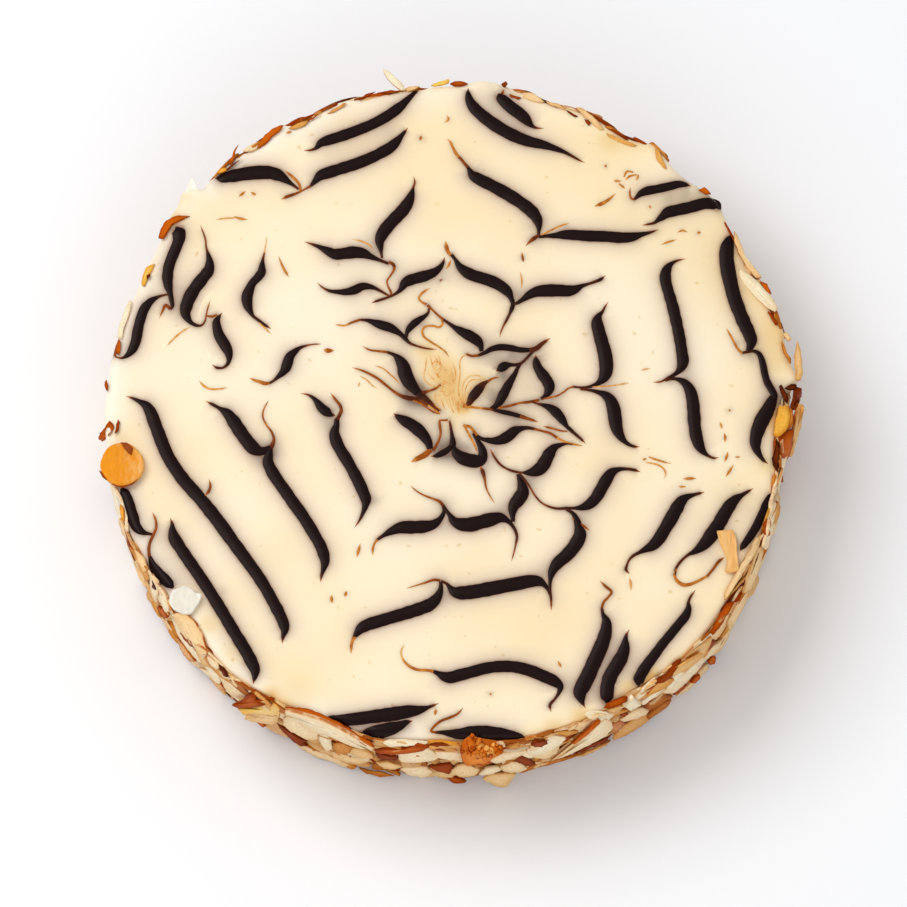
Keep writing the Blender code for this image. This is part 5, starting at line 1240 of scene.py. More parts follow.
# (kind, tone, skin, reach, lean), then x, y, z along the top edge as seen
STANDING = (
    ("cream", 0.35, 0.9, 8, 5, (-42.2, -80.5, 40.8), (-38.5, -81.4, 41.2), (-34.7, -82.6, 41.2),
     (-29.9, -84.6, 41), (-23.5, -88.4, 40.2), (-19.6, -90.5, 38.6)),)
FLAKES = (                      # (kind, tone, skin, thickness, lift), then the corners x, y as seen
    ("skin", 0.25, 0.4, 1, 1.6, (-56.3, -79.7), (-54.7, -80.5), (-51.7, -80.3), (-47.8, -79.5),
     (-44.7, -77.8), (-45.8, -77.3), (-47.6, -78.1), (-49.9, -78.4), (-49.4, -75.7), (-50.9, -76.5),
     (-52.4, -77.3), (-54.2, -78.9)),
    ("amber", 0.1, 0.2, 0.9, 0.9, (-54.7, -80.5), (-51.7, -80.3), (-47.8, -79.7), (-45, -78.6),
     (-43.7, -80.3), (-43.7, -82.4), (-47.1, -82.2), (-51.2, -81.9), (-53.2, -82.4)),
    ("tan", 0.3, 0.7, 1.6, 0.9, (-53.2, -83.5), (-51.7, -81.9), (-48.6, -81.6), (-45.8, -82.2),
     (-43.7, -82.2), (-44.2, -83.5), (-45.3, -84.9), (-47.8, -84.6), (-51.2, -84.1)),
    ("skin", 0.1, 0.4, 0.9, 0.6, (-50.6, -84.1), (-48.8, -84.1), (-47.6, -85.7), (-48.1, -86.2),
     (-49.6, -85.4)),
    ("skin", 0.65, 0.4, 0.9, 0.9, (-45, -84.6), (-43.2, -85.7), (-40.9, -87.3), (-38.8, -88.9),
     (-36.8, -89.5), (-38.1, -90), (-36.8, -91.1), (-38.8, -91.1), (-40.9, -89.5), (-43.2, -87)),
    ("cream", 0.5, 0.4, 0.9, 0.8, (-42.9, -83.2), (-41.2, -82.2), (-38.3, -82.4), (-35.5, -83.5),
     (-34, -85.9), (-34.2, -88.9), (-37.6, -88.6), (-40.9, -86.8), (-42.9, -85.1)),
    ("cream", 0.7, 0.3, 0.9, 0.5, (-41.4, -88.9), (-38.8, -90.8), (-35, -91.4), (-32.2, -93.2),
     (-28.6, -94.9), (-26, -96.2), (-27.3, -97), (-30.6, -95.4), (-35, -94.1), (-38.8, -91.9)),
    ("cream", 0.3, 0.2, 1, 0.9, (-34.2, -87.6), (-32.2, -87), (-30.9, -88.6), (-30.4, -91.4),
     (-31.7, -92.4), (-33.2, -90.5)),
    ("toasted", 0.4, 0.9, 0.9, 0.8, (-30.1, -89.7), (-27.3, -89.7), (-25.3, -91.1), (-26, -92.7),
     (-28.6, -92.7), (-30.4, -91.4)),
    ("tan", 0.4, 0.5, 0.9, 0.7, (-25.5, -91.1), (-22.9, -91.4), (-20.1, -93), (-19.9, -94.1),
     (-22.9, -94.1), (-26, -92.7)),
    ("tan", 0.2, 0.6, 0.9, 0.6, (-31.2, -92.2), (-27.3, -93.2), (-23.5, -94.1), (-20.4, -94.9),
     (-23.5, -95.9), (-27.3, -95.4), (-30.4, -94.1)),
    ("toasted", 0.5, 1, 0.8, 0.6, (-28.3, -95.4), (-26, -95.7), (-24.2, -97), (-25, -97.6), (-27.3, -96.8)),
    ("toasted", 0.6, 1, 0.9, 0.5, (-24.2, -97), (-20.9, -97.8), (-17.1, -98.4), (-14.5, -99.5),
     (-18.3, -99.7), (-21.9, -98.9)),
    ("skin", 0.2, 0.4, 1.1, 1.1, (-19.9, -91.6), (-16.8, -91.1), (-12.7, -91.1), (-8.6, -89.7),
     (-5.5, -90.3), (-7.1, -91.4), (-11.2, -92.2), (-15.3, -92.7), (-18.3, -92.4)),
    ("skin", 0.72, 0.4, 1, 1.3, (-19.6, -92.2), (-17.6, -92.7), (-15.3, -93.2), (-13.5, -93),
     (-13.5, -94.1), (-16, -94.3), (-18.6, -93.8)),
    ("cream", 0, 0.3, 1, 0.4, (-17.6, -89.5), (-15.8, -88.6), (-12.2, -88.6), (-8.1, -88.9), (-5.5, -89.2),
     (-7.1, -90), (-11.7, -90.3), (-15.8, -90.5)),
    ("cream", 0.3, 0.4, 0.8, 0.8, (-14.5, -92.7), (-10.6, -92.2), (-6, -91.4), (-2.9, -92.7), (-4, -94.3),
     (-8.1, -95.1), (-12.7, -94.9)),
    ("tan", 0.3, 0.6, 0.8, 0.9, (-19.4, -95.4), (-16.3, -95.1), (-12.7, -96.2), (-14.2, -97.3),
     (-17.3, -97)),
    ("cream", 0.5, 0.6, 0.8, 0.8, (-13.2, -97), (-10.1, -96.2), (-6.5, -96.5), (-4.5, -98.1), (-7.1, -99.5),
     (-11.2, -98.9)),
    ("skin", 0.5, 0.4, 0.8, 0.9, (-6, -96.2), (-3.5, -95.9), (-0.4, -95.4), (0.6, -97), (-0.6, -98.6),
     (-2.9, -97.8), (-4.7, -97.3)),
    ("skin", 0.3, 0.4, 0.8, 0.7, (-1.4, -99.5), (0.4, -99.5), (2.4, -100), (4, -100.8), (2.4, -101.4),
     (0.4, -101.1), (-0.9, -100.3)),
    ("tan", 0.1, 0.5, 0.9, 1.2, (-0.1, -97.6), (1.7, -95.9), (4.2, -95.7), (7.3, -97.3), (6, -98.9),
     (2.7, -99.2), (0.6, -98.6)),
    ("cream", 0.3, 0.5, 0.9, 1.3, (6.8, -98.6), (8.6, -97), (11.2, -96.5), (12.9, -97), (11.4, -98.1),
     (8.8, -98.9)),
    ("skin", 0.2, 0.4, 0.8, 0.8, (6.3, -95.7), (8.3, -94.6), (11.2, -94.1), (10.1, -95.1), (7.8, -95.9)),
    ("cream", 0.6, 0.7, 0.9, 1.1, (12.4, -96.5), (15.3, -94.9), (17.6, -95.1), (19.4, -97), (17.6, -98.1),
     (14.5, -98.1), (12.9, -97.6)),
    ("tan", 0.3, 0.3, 0.9, 2.2, (7.8, -100), (10.4, -98.6), (13.7, -98.4), (16.5, -98.6), (15.5, -100.3),
     (14.2, -102.2), (12.9, -102.4), (11.2, -101.9), (9.4, -100.8)),
    ("crumb", 0.4, 0.5, 3.6, 1.3, (2.7, -90.5), (3.7, -89.5), (5.3, -88.4), (6.3, -89.2), (8.3, -89.7),
     (11.4, -90.3), (13.2, -91.1), (11.7, -91.9), (9.9, -93.2), (8.3, -94.3), (6.3, -94.1), (4.2, -94.9),
     (2.9, -93.8), (2.4, -92.2)),
    ("amber", 0.55, 0, 0.8, 0.2, (-7.6, -90), (-6, -88.9), (-2.7, -88.9), (1.2, -89.5), (2.7, -90),
     (2.2, -91.6), (-0.4, -91.1), (-3.5, -91.1), (-6, -91.1)),
    ("cream", 0.4, 0, 0.9, 0.7, (-6, -91.6), (-3.5, -91.4), (0.1, -91.6), (2.4, -92.4), (2.7, -94.1),
     (-0.4, -94.3), (-4, -93.5)),
    ("cream", 0.5, 0.2, 1, 0.9, (9.4, -94.3), (12.2, -92.4), (16, -91.9), (19.6, -91.6), (17.8, -93),
     (14.7, -94.1), (11.4, -95.4)),
    ("cream", 0.65, 0.3, 1, 0.8, (19.6, -91.6), (20.4, -89.5), (22.7, -88.4), (25.8, -88.9), (27.8, -90),
     (26.8, -92.7), (24.2, -94.1), (21.2, -93.8)),
    ("skin", 0.58, 0.4, 1, 1.1, (20.1, -90), (21.4, -88.9), (23.5, -88.9), (24.5, -89.5), (22.9, -90.5),
     (20.9, -90.5)),
    ("skin", 0.65, 0.4, 0.8, 0.9, (15.3, -94.1), (17.6, -93.2), (19.9, -94.1), (21.7, -95.9), (19.9, -96.5),
     (17.3, -95.4)),
    ("toasted", 0.7, 1, 0.9, 0.8, (17.3, -98.6), (20.6, -97), (24.7, -96.2), (29.4, -94.9), (32.9, -93.5),
     (29.4, -94.1), (24.2, -95.1), (20.1, -96.2)),
    ("tan", 0.3, 0.8, 0.9, 0.5, (17.6, -97), (20.6, -95.4), (24, -94.9), (26.8, -93.5), (24.7, -95.7),
     (21.2, -97)),
    ("skin", 0, 0.4, 0.8, 1.9, (30.6, -89.7), (32.9, -87.6), (35.5, -85.1), (37.3, -83), (38.1, -83.5),
     (36, -85.9), (33.5, -88.4), (31.2, -90.3)),
    ("cream", 0, 0, 0.8, 0.5, (33.7, -81.9), (35.5, -80.8), (39.6, -81.4), (40.9, -82.4), (38.8, -83.5),
     (37.1, -83.2), (35, -83.2)),
    ("skin", 0, 0.4, 0.8, 1.6, (-42.4, -80), (-39.6, -80), (-36.3, -80.5), (-32.4, -82.2), (-28.6, -84.1),
     (-24.7, -86.5), (-21.4, -88.6), (-19.4, -90.5), (-20.4, -91.1), (-22.9, -89.5), (-26, -87.3),
     (-29.9, -85.1), (-33.7, -83.2), (-37.6, -81.6), (-41.4, -81.1)),
    ("tan", 0.2, 1, 1.2, 0.9, (25, -94.9), (27.1, -92.7), (30.4, -89.7), (33.7, -86.5), (36.5, -83.8),
     (37.1, -84.3), (34.5, -87.6), (30.9, -90.8), (27.8, -93.5)),
    ("cream", 0.35, 0.5, 1.1, 1.4, (26.3, -94.3), (28.8, -92.2), (31.7, -89.7), (34.7, -87.3),
     (37.3, -84.6), (39.1, -83), (40.6, -83.8), (41.2, -85.7), (39.6, -87.8), (36.5, -89.5), (32.9, -91.4),
     (29.4, -93.2)),
    ("skin", 0.68, 0.4, 0.8, 1, (30.9, -93.2), (34, -91.6), (36.5, -90.3), (39.6, -88.9), (41.2, -87.6),
     (39.6, -90), (36.5, -91.1), (33.5, -92.7)),
    ("tan", 0.6, 0.8, 0.9, 0.7, (31.9, -94.1), (35, -92.7), (38.1, -91.4), (41.2, -89.7), (39.6, -91.1),
     (36, -93), (33.5, -94.1)),
    ("skin", 0.3, 0.4, 1.5, 1, (38.6, -80.3), (39.6, -78.9), (41.9, -77.8), (44.2, -76.8), (45, -77.6),
     (44.5, -78.6), (42.2, -79.7), (39.9, -80.5)),
    ("cream", 0, 0, 1.9, 1.2, (43.7, -79.5), (43.7, -79.5), (46, -77), (46, -77), (48.1, -79.2),
     (48.1, -79.2), (45.3, -80.8), (45.3, -80.8)),
    ("skin", 0.2, 0.4, 0.9, 0.6, (46.3, -77.6), (49.4, -75.4), (52.2, -73.5), (54, -72.4), (54.7, -73.2),
     (51.7, -75.4), (48.6, -77.6)),
    ("cream", 0.1, 0.3, 1.1, 0.9, (48.3, -78.9), (50.9, -76.2), (53.5, -74.3), (54.7, -74.3), (54, -75.9),
     (51.2, -77.8), (48.8, -79.7)),
    ("skin", 0.5, 0.4, 1, 1, (51.7, -73.8), (52.4, -72.2), (54, -71.9), (55, -70.8), (55.8, -68.9),
     (57.1, -67.6), (58.6, -67), (57.8, -68.6), (56.5, -70.8), (55.5, -72.4), (53.7, -73.5)),
    ("toasted", 0.9, 1, 0.9, 0.4, (48.3, -80.8), (50.9, -78.4), (54.5, -77), (56.8, -77.8), (55.5, -79.2),
     (52.4, -80.8), (49.6, -81.9)),
    ("cream", 0.6, 0.5, 0.9, 1.2, (42.7, -83.8), (45.5, -81.6), (48.8, -80.5), (50.6, -81.4), (49.4, -82.7),
     (46.3, -83.8), (43.7, -84.3)),
    ("amber", 0.95, 0.9, 0.8, 0.7, (40.9, -84.9), (43.2, -83.8), (44.5, -85.1), (42.4, -87.3),
     (40.9, -87.6)),
    ("skin", 0.58, 0.4, 0.8, 1, (42.7, -82.2), (44.2, -81.4), (45.3, -81.9), (44, -83)),
    ("tan", 0.75, 0.5, 0.9, 0.9, (43.7, -85.7), (47.1, -83.5), (50.4, -82.4), (51.2, -83.8), (48.6, -85.9),
     (45.3, -88.1), (41.4, -89.7), (41.9, -88.1)),
    ("toasted", 0.8, 1, 0.9, 1.1, (49.9, -83.2), (52.2, -81.1), (54.7, -79.2), (56.5, -78.4), (55.8, -80.3),
     (53.2, -82.2), (50.6, -84.1)),
    ("cream", 0.3, 0.4, 0.9, 1.2, (54, -76.5), (56.5, -73.2), (60.1, -69.7), (63.7, -66.8), (65.3, -67.3),
     (63.2, -70.5), (60.1, -73.8), (56.8, -76.8)),
    ("tan", 0, 0.5, 0.9, 0.9, (57.6, -77.6), (60.6, -74.9), (63.7, -71.1), (65.8, -68.9), (66.3, -70),
     (63.7, -73.2), (60.6, -76.5)),
    ("skin", 0.4, 0.4, 0.8, 1.4, (56.8, -77.3), (57.6, -75.4), (59.4, -74.3), (60.4, -74.3), (59.6, -75.7),
     (58.1, -77)),
    ("skin", 0.1, 0.4, 0.8, 1.3, (61.4, -74.3), (62.7, -72.4), (63.7, -71.9), (64, -73), (62.7, -74.3)),
    ("skin", 0.1, 0.4, 0.8, 1.2, (65.8, -68.6), (67.1, -66.8), (68.1, -67.3), (67.8, -68.9), (66.5, -69.5)),
    ("skin", 0.5, 0.4, 1, 1.1, (62.9, -65.7), (64.5, -63.5), (66.5, -62.2), (67.6, -62.4), (66.5, -64.1),
     (65, -65.4)),
    ("cream", 0, 0.2, 1.2, 0.5, (54.2, -74.6), (56.3, -71.4), (58.8, -68.6), (61.2, -65.4), (62.2, -66.2),
     (61.2, -68.9), (58.3, -72.2), (55.8, -75.4)),
    ("cream", 0.5, 0.4, 0.9, 0.9, (61.2, -68.4), (63.7, -65.7), (66.8, -64.1), (69.4, -62.4), (68.8, -64.6),
     (66.3, -66.8), (63.2, -69.5)),
    ("tan", 0.1, 0.9, 1.8, 1.3, (77.8, -34.3), (78.8, -35.4), (78.3, -37.6), (76, -41.4), (74.5, -43.8),
     (71.9, -48.1), (69.6, -51.6), (69.6, -49.5), (72.7, -43.8), (75.8, -38.4)),
    ("skin", 0.25, 0.4, 1.2, 1, (72.2, -51.4), (71.4, -53.5), (68.6, -58.4), (66.5, -61.1), (65.8, -60),
     (68.3, -55.1), (70.1, -52.4)),
    ("tan", 0.15, 0.5, 1, 1.3, (78.3, -37), (79.6, -38.1), (78.3, -44.1), (76.3, -48.6), (74.5, -49.7),
     (75.5, -45.1), (77.1, -40.3)),
    ("tan", 0.15, 0.5, 1, 1, (74.5, -50), (76, -48.9), (75, -53.2), (72.9, -57), (70.9, -59.7),
     (70.4, -57.3), (72.4, -53.2)),
    ("tan", 0.2, 0.6, 0.9, 0.8, (70.9, -59.7), (72.4, -58.1), (70.9, -62.4), (68.8, -65.7), (66.8, -66.8),
     (68.3, -63.5)),
    ("cream", 0.35, 0.3, 1, 1, (84, -13.8), (86, -12.4), (85, -15.9), (84, -20), (83.2, -23), (81.4, -28.4),
     (80.6, -30), (81.4, -25.7), (82.9, -19.5), (83.2, -15.9)),
    ("skin", 0.1, 0.4, 0.9, 1.1, (80.6, -28.4), (81.4, -30), (81.2, -34.1), (80.1, -34.6), (79.9, -31.1)),
    ("cream", 0.3, 0.3, 1, 1.3, (81.7, -26.2), (82.7, -24.6), (82.4, -28.6), (81.7, -33.8), (80.4, -38.1),
     (79.4, -37), (80.6, -32.7)),
    ("amber", 0.4, 0.2, 2.6, 0.7, (84, 0.8), (86.3, 0.8), (86.8, -1.9), (86.3, -5.1), (85, -6.8),
     (83.7, -7.8), (82.4, -7.3), (82.9, -3.5)),
    ("amber", 1, 0.8, 1.6, 0.8, (86.3, 0.8), (87.6, -0.5), (87.6, -4.3), (86.3, -6.2), (86.5, -2.4)),
    ("skin", 0.15, 0.4, 1.6, 0.8, (82.7, -9.2), (84.2, -7.6), (85.8, -5.9), (87.3, -5.7), (87.1, -9.7),
     (86.3, -12.7), (85.3, -14.3), (84, -12.4)),
    ("skin", 1, 0.4, 1, 0.7, (83.2, -7.8), (84, -10), (84, -13.8), (83.5, -17.3), (82.2, -15.1),
     (81.9, -13.2), (82.9, -10.5)),
    ("skin", 1, 0.4, 0.9, 1.4, (83.7, 6.2), (84.5, 6.8), (85.5, 5.1), (86.5, 2.7), (86, 1.1), (85.3, 2.4),
     (84.5, 4.3)),
    ("skin", 1, 0.4, 0.9, 1.5, (85.3, 5.4), (86.8, 6.5), (88.6, 6.8), (88.6, 5.7), (86.8, 4.9)),
    ("skin", 0.7, 0.4, 1.2, 1.3, (88.3, 6.2), (89.4, 5.7), (89.6, 3.8), (88.8, 1.6), (87.8, -0.5),
     (87.1, 0.3), (87.8, 3)),
    ("tan", 0.6, 1, 1.3, 1.3, (89.1, 1.4), (90.1, 1.1), (89.9, -0.8), (89.4, -4.9), (88.3, -8.9),
     (87.3, -13), (86.5, -12.7), (86.8, -10), (87.6, -5.7), (88.1, -1.6)),
    ("tan", 0.45, 0.4, 1.1, 1.3, (88.8, 18.4), (89.4, 16.8), (89.9, 13.2), (90.1, 9.2), (89.6, 7.8),
     (88.6, 7.3), (88.1, 10), (88.1, 14.6)),
    ("tan", 0.3, 0.9, 0.9, 0.5, (85, 20.3), (86, 21.1), (87.6, 18.6), (86.5, 18.1)),
    ("toasted", 0.6, 1, 0.8, 0.4, (84.7, 18.6), (85.5, 17.3), (86.3, 14.3), (87.3, 13.8), (87.1, 11.9),
     (86, 13.8), (85, 15.9)),
    ("tan", 0.05, 1, 1.1, 1.1, (-71.2, -54.9), (-68.1, -54.6), (-65.3, -57), (-63.2, -60.8), (-61.9, -66.2),
     (-63.7, -65.9), (-66.5, -63), (-69.4, -59.2)),
    ("skin", 0.5, 0.4, 0.9, 1.4, (-69.4, -60), (-67.8, -60.5), (-66.3, -62.2), (-65.3, -64.1),
     (-66.5, -63.8), (-68.1, -61.9)),
    ("amber", 0.7, 1, 0.9, 1, (-70.1, -62.2), (-68.8, -63.5), (-66.8, -66.5), (-65.5, -68.4),
     (-67.1, -68.4), (-68.8, -66.5), (-69.9, -64.3)),
    ("cream", 0.4, 0.4, 0.9, 0.9, (-62.2, -66.2), (-60.4, -67.3), (-59.1, -69.5), (-59.9, -70),
     (-61.4, -68.4)),
    ("cream", 0.6, 0.5, 0.9, 1, (-59.1, -71.9), (-55, -72.4), (-51.4, -74.1), (-50.6, -75.7),
     (-53.5, -77.6), (-56, -77.3), (-58.1, -74.9)),
    ("skin", 0.6, 0.4, 0.8, 0.8, (-64, -68.1), (-61.9, -69.5), (-59.9, -71.6), (-58.6, -73.8), (-60.4, -73),
     (-62.4, -70.5)),
    ("amber", 0.8, 0.4, 0.8, 0.8, (-60.6, -73), (-59.1, -74.1), (-57.8, -76.2), (-59.1, -75.9)),
    ("skin", 0.95, 0.4, 0.8, 0.5, (-59.4, -68.6), (-57.8, -69.7), (-56.8, -71.9), (-58.1, -71.4)),
    ("cream", 0.3, 0.6, 0.9, 0.8, (-71.9, -54.9), (-70.6, -57), (-67.8, -61.4), (-65.3, -65.1),
     (-63.2, -68.4), (-64.5, -68.4), (-67.3, -65.1), (-70.1, -60.8)),
    ("cream", 0.5, 0.3, 0.9, 0.6, (-58.3, -71.1), (-55.8, -72.2), (-54.2, -74.3), (-56.3, -74.9)),
    ("cream", 0.1, 0.5, 1, 0.6, (-87.6, -20.3), (-86, -21.1), (-84.7, -23.8), (-83.2, -28.6),
     (-82.7, -33.2), (-83.5, -35.1), (-84.2, -34.1), (-85.5, -28.6), (-86.5, -24.6)),
    ("amber", 0.6, 0.6, 0.9, 0.9, (-84.7, -25.4), (-83.7, -26.8), (-83.5, -30.5), (-84.2, -30),
     (-84.7, -27.3)),
    ("cream", 0.2, 0.9, 0.9, 0.7, (-83.2, -34.9), (-81.9, -37), (-79.9, -42.2), (-80.9, -41.4),
     (-82.4, -38.9), (-83.2, -36.8)),
    ("tan", 0.2, 0.8, 0.9, 0.7, (-80.9, -37.6), (-78.6, -39.7), (-77.3, -43), (-78.3, -44.3),
     (-79.9, -41.6)),
    ("cream", 0.4, 0.8, 0.9, 0.7, (-76.8, -44.6), (-74.7, -46.2), (-74.7, -49.5), (-75.5, -52.4),
     (-76.8, -48.9)),
    ("cream", 0.2, 0.7, 0.9, 0.9, (-74.7, -47.3), (-72.7, -49.5), (-71.9, -54.3), (-72.9, -54.9),
     (-74.2, -51.6)),
    ("skin", 0.15, 0.4, 0.9, 1, (-75.3, -53.2), (-73.7, -53.8), (-72.4, -56.2), (-73.2, -56.5),
     (-74.7, -54.9)),
    ("skin", 0.05, 0.4, 1, 0.6, (-75.5, 46.5), (-75, 48.9), (-73.5, 51.1), (-71.2, 52.7), (-67.3, 52.4),
     (-69.4, 51.9), (-71.7, 50.5), (-73.2, 48.6), (-74.2, 46.2)),
    ("amber", 0.3, 0.8, 0.9, 0.4, (-76.3, 39.5), (-78.6, 38.6), (-79.6, 36.2), (-79.9, 33.8), (-79.1, 33),
     (-78.1, 35.7), (-77.1, 37.6)),
    ("skin", 0.9, 0.4, 0.7, 0.9, (-78.6, 36.5), (-77.6, 37), (-77.3, 35.9), (-78.3, 35.1)),
    ("cream", 0.1, 0.6, 0.9, 0.5, (-82.7, 30), (-82.2, 29.2), (-82.7, 26.2), (-84, 22.2), (-84.7, 18.9),
     (-86, 19.5), (-85.3, 22.7), (-84, 26.8)),
    ("skin", 0.1, 0.4, 0.9, 0.5, (-85.5, 19.2), (-85, 17.8), (-85, 15.9), (-85.5, 14.3), (-86.3, 15.4),
     (-86, 17.6)),
    ("skin", 0.3, 0.4, 0.8, 0.4, (-88.6, 8.1), (-88.1, 6.8), (-88.3, 4.6), (-89.1, 6.2)),
    ("skin", 0.05, 0.4, 1.1, 0.9, (-87.6, -3.2), (-86.8, -4.1), (-86.5, -5.7), (-87.6, -6.8), (-89.4, -8.6),
     (-90.6, -7.8), (-90.1, -6.5), (-88.8, -4.9)),
    ("skin", 0.4, 0.4, 0.8, 0.7, (-85.5, -2.7), (-85, -3.8), (-85.3, -5.7), (-86.3, -6.8), (-85.8, -4.9)),
    ("skin", 0.15, 0.4, 0.8, 1, (-55, 72.4), (-55.8, 70.8), (-56, 68.9), (-56.5, 67), (-57.3, 66.2),
     (-57.6, 67), (-56.8, 68.6), (-56.3, 70.5)),
    ("skin", 0.9, 0.4, 0.5, 0.6, (-54, 68.4), (-55.8, 66.8), (-57.8, 64.9), (-58.3, 65.1), (-56.5, 66.8)),
    ("amber", 0.6, 0.9, 0.8, 0.3, (-60.9, 64.1), (-59.9, 65.4), (-57.8, 65.9), (-57.8, 64.9), (-59.4, 64.1)),
    ("cream", 0.5, 0.4, 0.8, 0.3, (-54.2, 70.3), (-51.7, 72.2), (-49.6, 73), (-49.9, 71.1), (-52.4, 70)),
    ("skin", 0, 0.4, 0.9, 0.5, (-50.4, 70.8), (-49.6, 72.7), (-48.1, 74.9), (-46, 76.5), (-43.2, 77.6),
     (-44.5, 75.9), (-46.5, 74.3), (-48.1, 72.2)),
    ("toasted", 0.1, 1, 0.8, 0.3, (-42.4, 76.5), (-39.9, 77.8), (-37.1, 78.9), (-37.8, 77.3), (-40.4, 76.2)),
    ("skin", 0.3, 0.4, 0.6, 0.2, (-39.1, 77.8), (-36.8, 79.2), (-34.2, 80.5), (-35.8, 79.2), (-37.8, 78.1)),
    ("toasted", 0.2, 1, 0.7, 0.2, (-32.4, 80.5), (-29.9, 82.4), (-27.1, 83.8), (-27.8, 82.7), (-30.4, 81.1)),
    ("skin", 0.5, 0.4, 0.6, 0.2, (-24.2, 84.3), (-22.2, 85.9), (-19.6, 86.8), (-20.4, 85.9), (-22.7, 84.9)),
    ("skin", 0.4, 0.4, 0.6, 0.2, (-19.4, 86.2), (-15.8, 87), (-12.4, 86.8), (-15.8, 86.2)),
    ("cream", 0, 0.9, 0.9, 0.8, (-17.8, 93.2), (-16.5, 92.4), (-14.5, 90.5), (-12.4, 88.4), (-11.9, 87),
     (-13.2, 87), (-15.5, 88.9), (-17.3, 91.1)),
    ("tan", 0.3, 0.9, 0.8, 0.3, (-12.2, 87.6), (-10.1, 88.1), (-8.1, 88.1), (-9.6, 87), (-11.4, 86.8)),
    ("tan", 0.3, 1, 0.9, 0.3, (31.9, 82.4), (33.7, 82.2), (36.3, 80), (38.3, 78.1), (39.6, 75.9),
     (38.3, 75.9), (36, 78.1), (34, 80)),
    ("skin", 0.6, 0.4, 0.7, 0.4, (34.2, 79.2), (36, 78.4), (35.5, 77), (34.7, 78.1)),
    ("skin", 0.8, 0.4, 0.6, 0.2, (29.4, 81.9), (30.9, 81.1), (32.9, 79.7), (31.9, 79.7), (30.1, 80.8)),
    ("amber", 0, 0.3, 0.9, 0.4, (-5.5, 88.4), (-4, 88.9), (-1.9, 89.7), (-0.6, 90.3), (-0.6, 88.9),
     (-2.4, 88.4), (-4.5, 88.1)),
    ("skin", 0.3, 0.4, 0.9, 0.3, (-0.6, 88.9), (0.9, 89.5), (2.4, 89.5), (4.5, 88.9), (2.4, 88.1),
     (0.9, 88.1)),
    ("skin", 0.6, 0.4, 1, 0.5, (12.9, 88.9), (14, 89.5), (14.7, 88.6), (14, 87.8), (13.2, 88.1)),
    ("skin", 0.4, 0.4, 0.7, 0.3, (14.7, 86.2), (16, 85.7), (18.3, 84.9), (17.1, 84.6), (15.3, 85.1)),
    ("tan", 0.1, 0.7, 0.8, 0.3, (18.3, 85.1), (19.4, 86.5), (20.9, 86.5), (22.2, 85.4), (24.2, 83.8),
     (22.7, 83.5), (20.1, 84.3)),
    ("tan", 0.5, 0.8, 0.8, 0.2, (24.2, 84.1), (26, 83.8), (28.3, 83), (29.9, 81.6), (27.8, 82.2),
     (25.3, 83)),
    ("toasted", 0, 0.6, 0.7, 0.1, (39.9, 75.4), (43.5, 73.8), (48.1, 71.9), (47.3, 71.4), (43.7, 72.4),
     (40.6, 73.8)),
    ("toasted", 0, 0.5, 0.8, 0.3, (52.4, 71.1), (53.7, 70.8), (54.5, 68.1), (55.8, 65.1), (54.5, 65.7),
     (52.9, 68.1)),
    ("skin", 0, 0.4, 0.8, 0.3, (63.7, 59.7), (65.3, 60.5), (67.1, 58.4), (65.5, 58.6)),
    ("tan", 0.2, 1, 1, 0.5, (72.7, 45.7), (72.9, 48.6), (74, 46.2), (75, 42.4), (76.8, 39.7), (78.8, 37),
     (79.9, 35.7), (78.3, 35.4), (76, 38.4), (74, 41.9)),
    ("cream", 0.2, 0.4, 0.9, 0.6, (74, 38.1), (76, 37), (78.6, 34.9), (80.6, 32.4), (82.4, 30.3),
     (84, 27.3), (83.2, 26.2), (80.9, 27.6), (78.1, 30.3), (75.8, 33.2), (74.2, 35.4)),
    ("skin", 0.1, 0.4, 0.9, 1, (79.4, 34.9), (81.2, 33.8), (82.4, 31.4), (81.7, 30.8), (80.1, 32.7)),
    ("skin", 0.4, 0.4, 0.6, 0.4, (81.2, 27), (82.9, 24.9), (84, 22.7), (83.2, 22.7), (81.7, 25.1)),
)


LOWEST_SEEN, SEEN_STEP = 1.5, 0.25      # how low the side is searched, and how finely
TALLEST_SEEN = 15.0             # a flake that would run further down leans out from the side instead
LEANING_DROP = 0.1              # share of the way down that its lower part still takes
SHINGLE = 0.9                   # how much further a flake's lower edge stands out than its upper
SHINGLE_REACH = 3               # a flake that is narrower than this as seen slants less
EDGE_STEP, RAGGED = 0.9, 0.07   # between the points round a flake, and how far they stray
CORNER_ROUNDING = 0.12          # share that each neighbour has in where a point lies
SEEN_THINNESS = 0.8             # share of the table's thickness
STANDING_STEP, STANDING_THICKNESS = 1.2, (1.1, 1.3)
STANDING_ENDS, STANDING_FULLNESS = 0.04, 0.55   # how its depth runs from end to end
CRUMBS = 60                     # on each crumb lump
CRUMB_PLACES = (0.0, 0.95)      # share of the way from the lump's middle to a corner
CRUMB_SEED = 8
CRUMB_SCATTER, CRUMB_SIZES, CRUMB_RISES = 0.5, (0.35, 0.9), (1.2, 1.7)
CRUMB_CORNERS, CRUMB_TURNS, CRUMB_REACHES = 6, (0.8, 1.2), (0.7, 1.2)   # turns are radians between them


def on_side(x, y, lift):
    """The place on the torte's skin that the camera sees at (x, y), raised outwards by lift."""
    if math.hypot(x, y) < rim(x, y):
        return seen(x, y, TOP + lift)
    nearest, best = None, math.inf
    for z in np.arange(TOP, LOWEST_SEEN, -SEEN_STEP):
        place = seen(x, y, z)
        bearing = math.degrees(math.atan2(place[1], place[0]))
        gap = math.hypot(place[0], place[1]) - side_radius(bearing, z) - lift
        if gap < best:
            nearest, best = place, gap
        if gap < 0:
            break
    return nearest


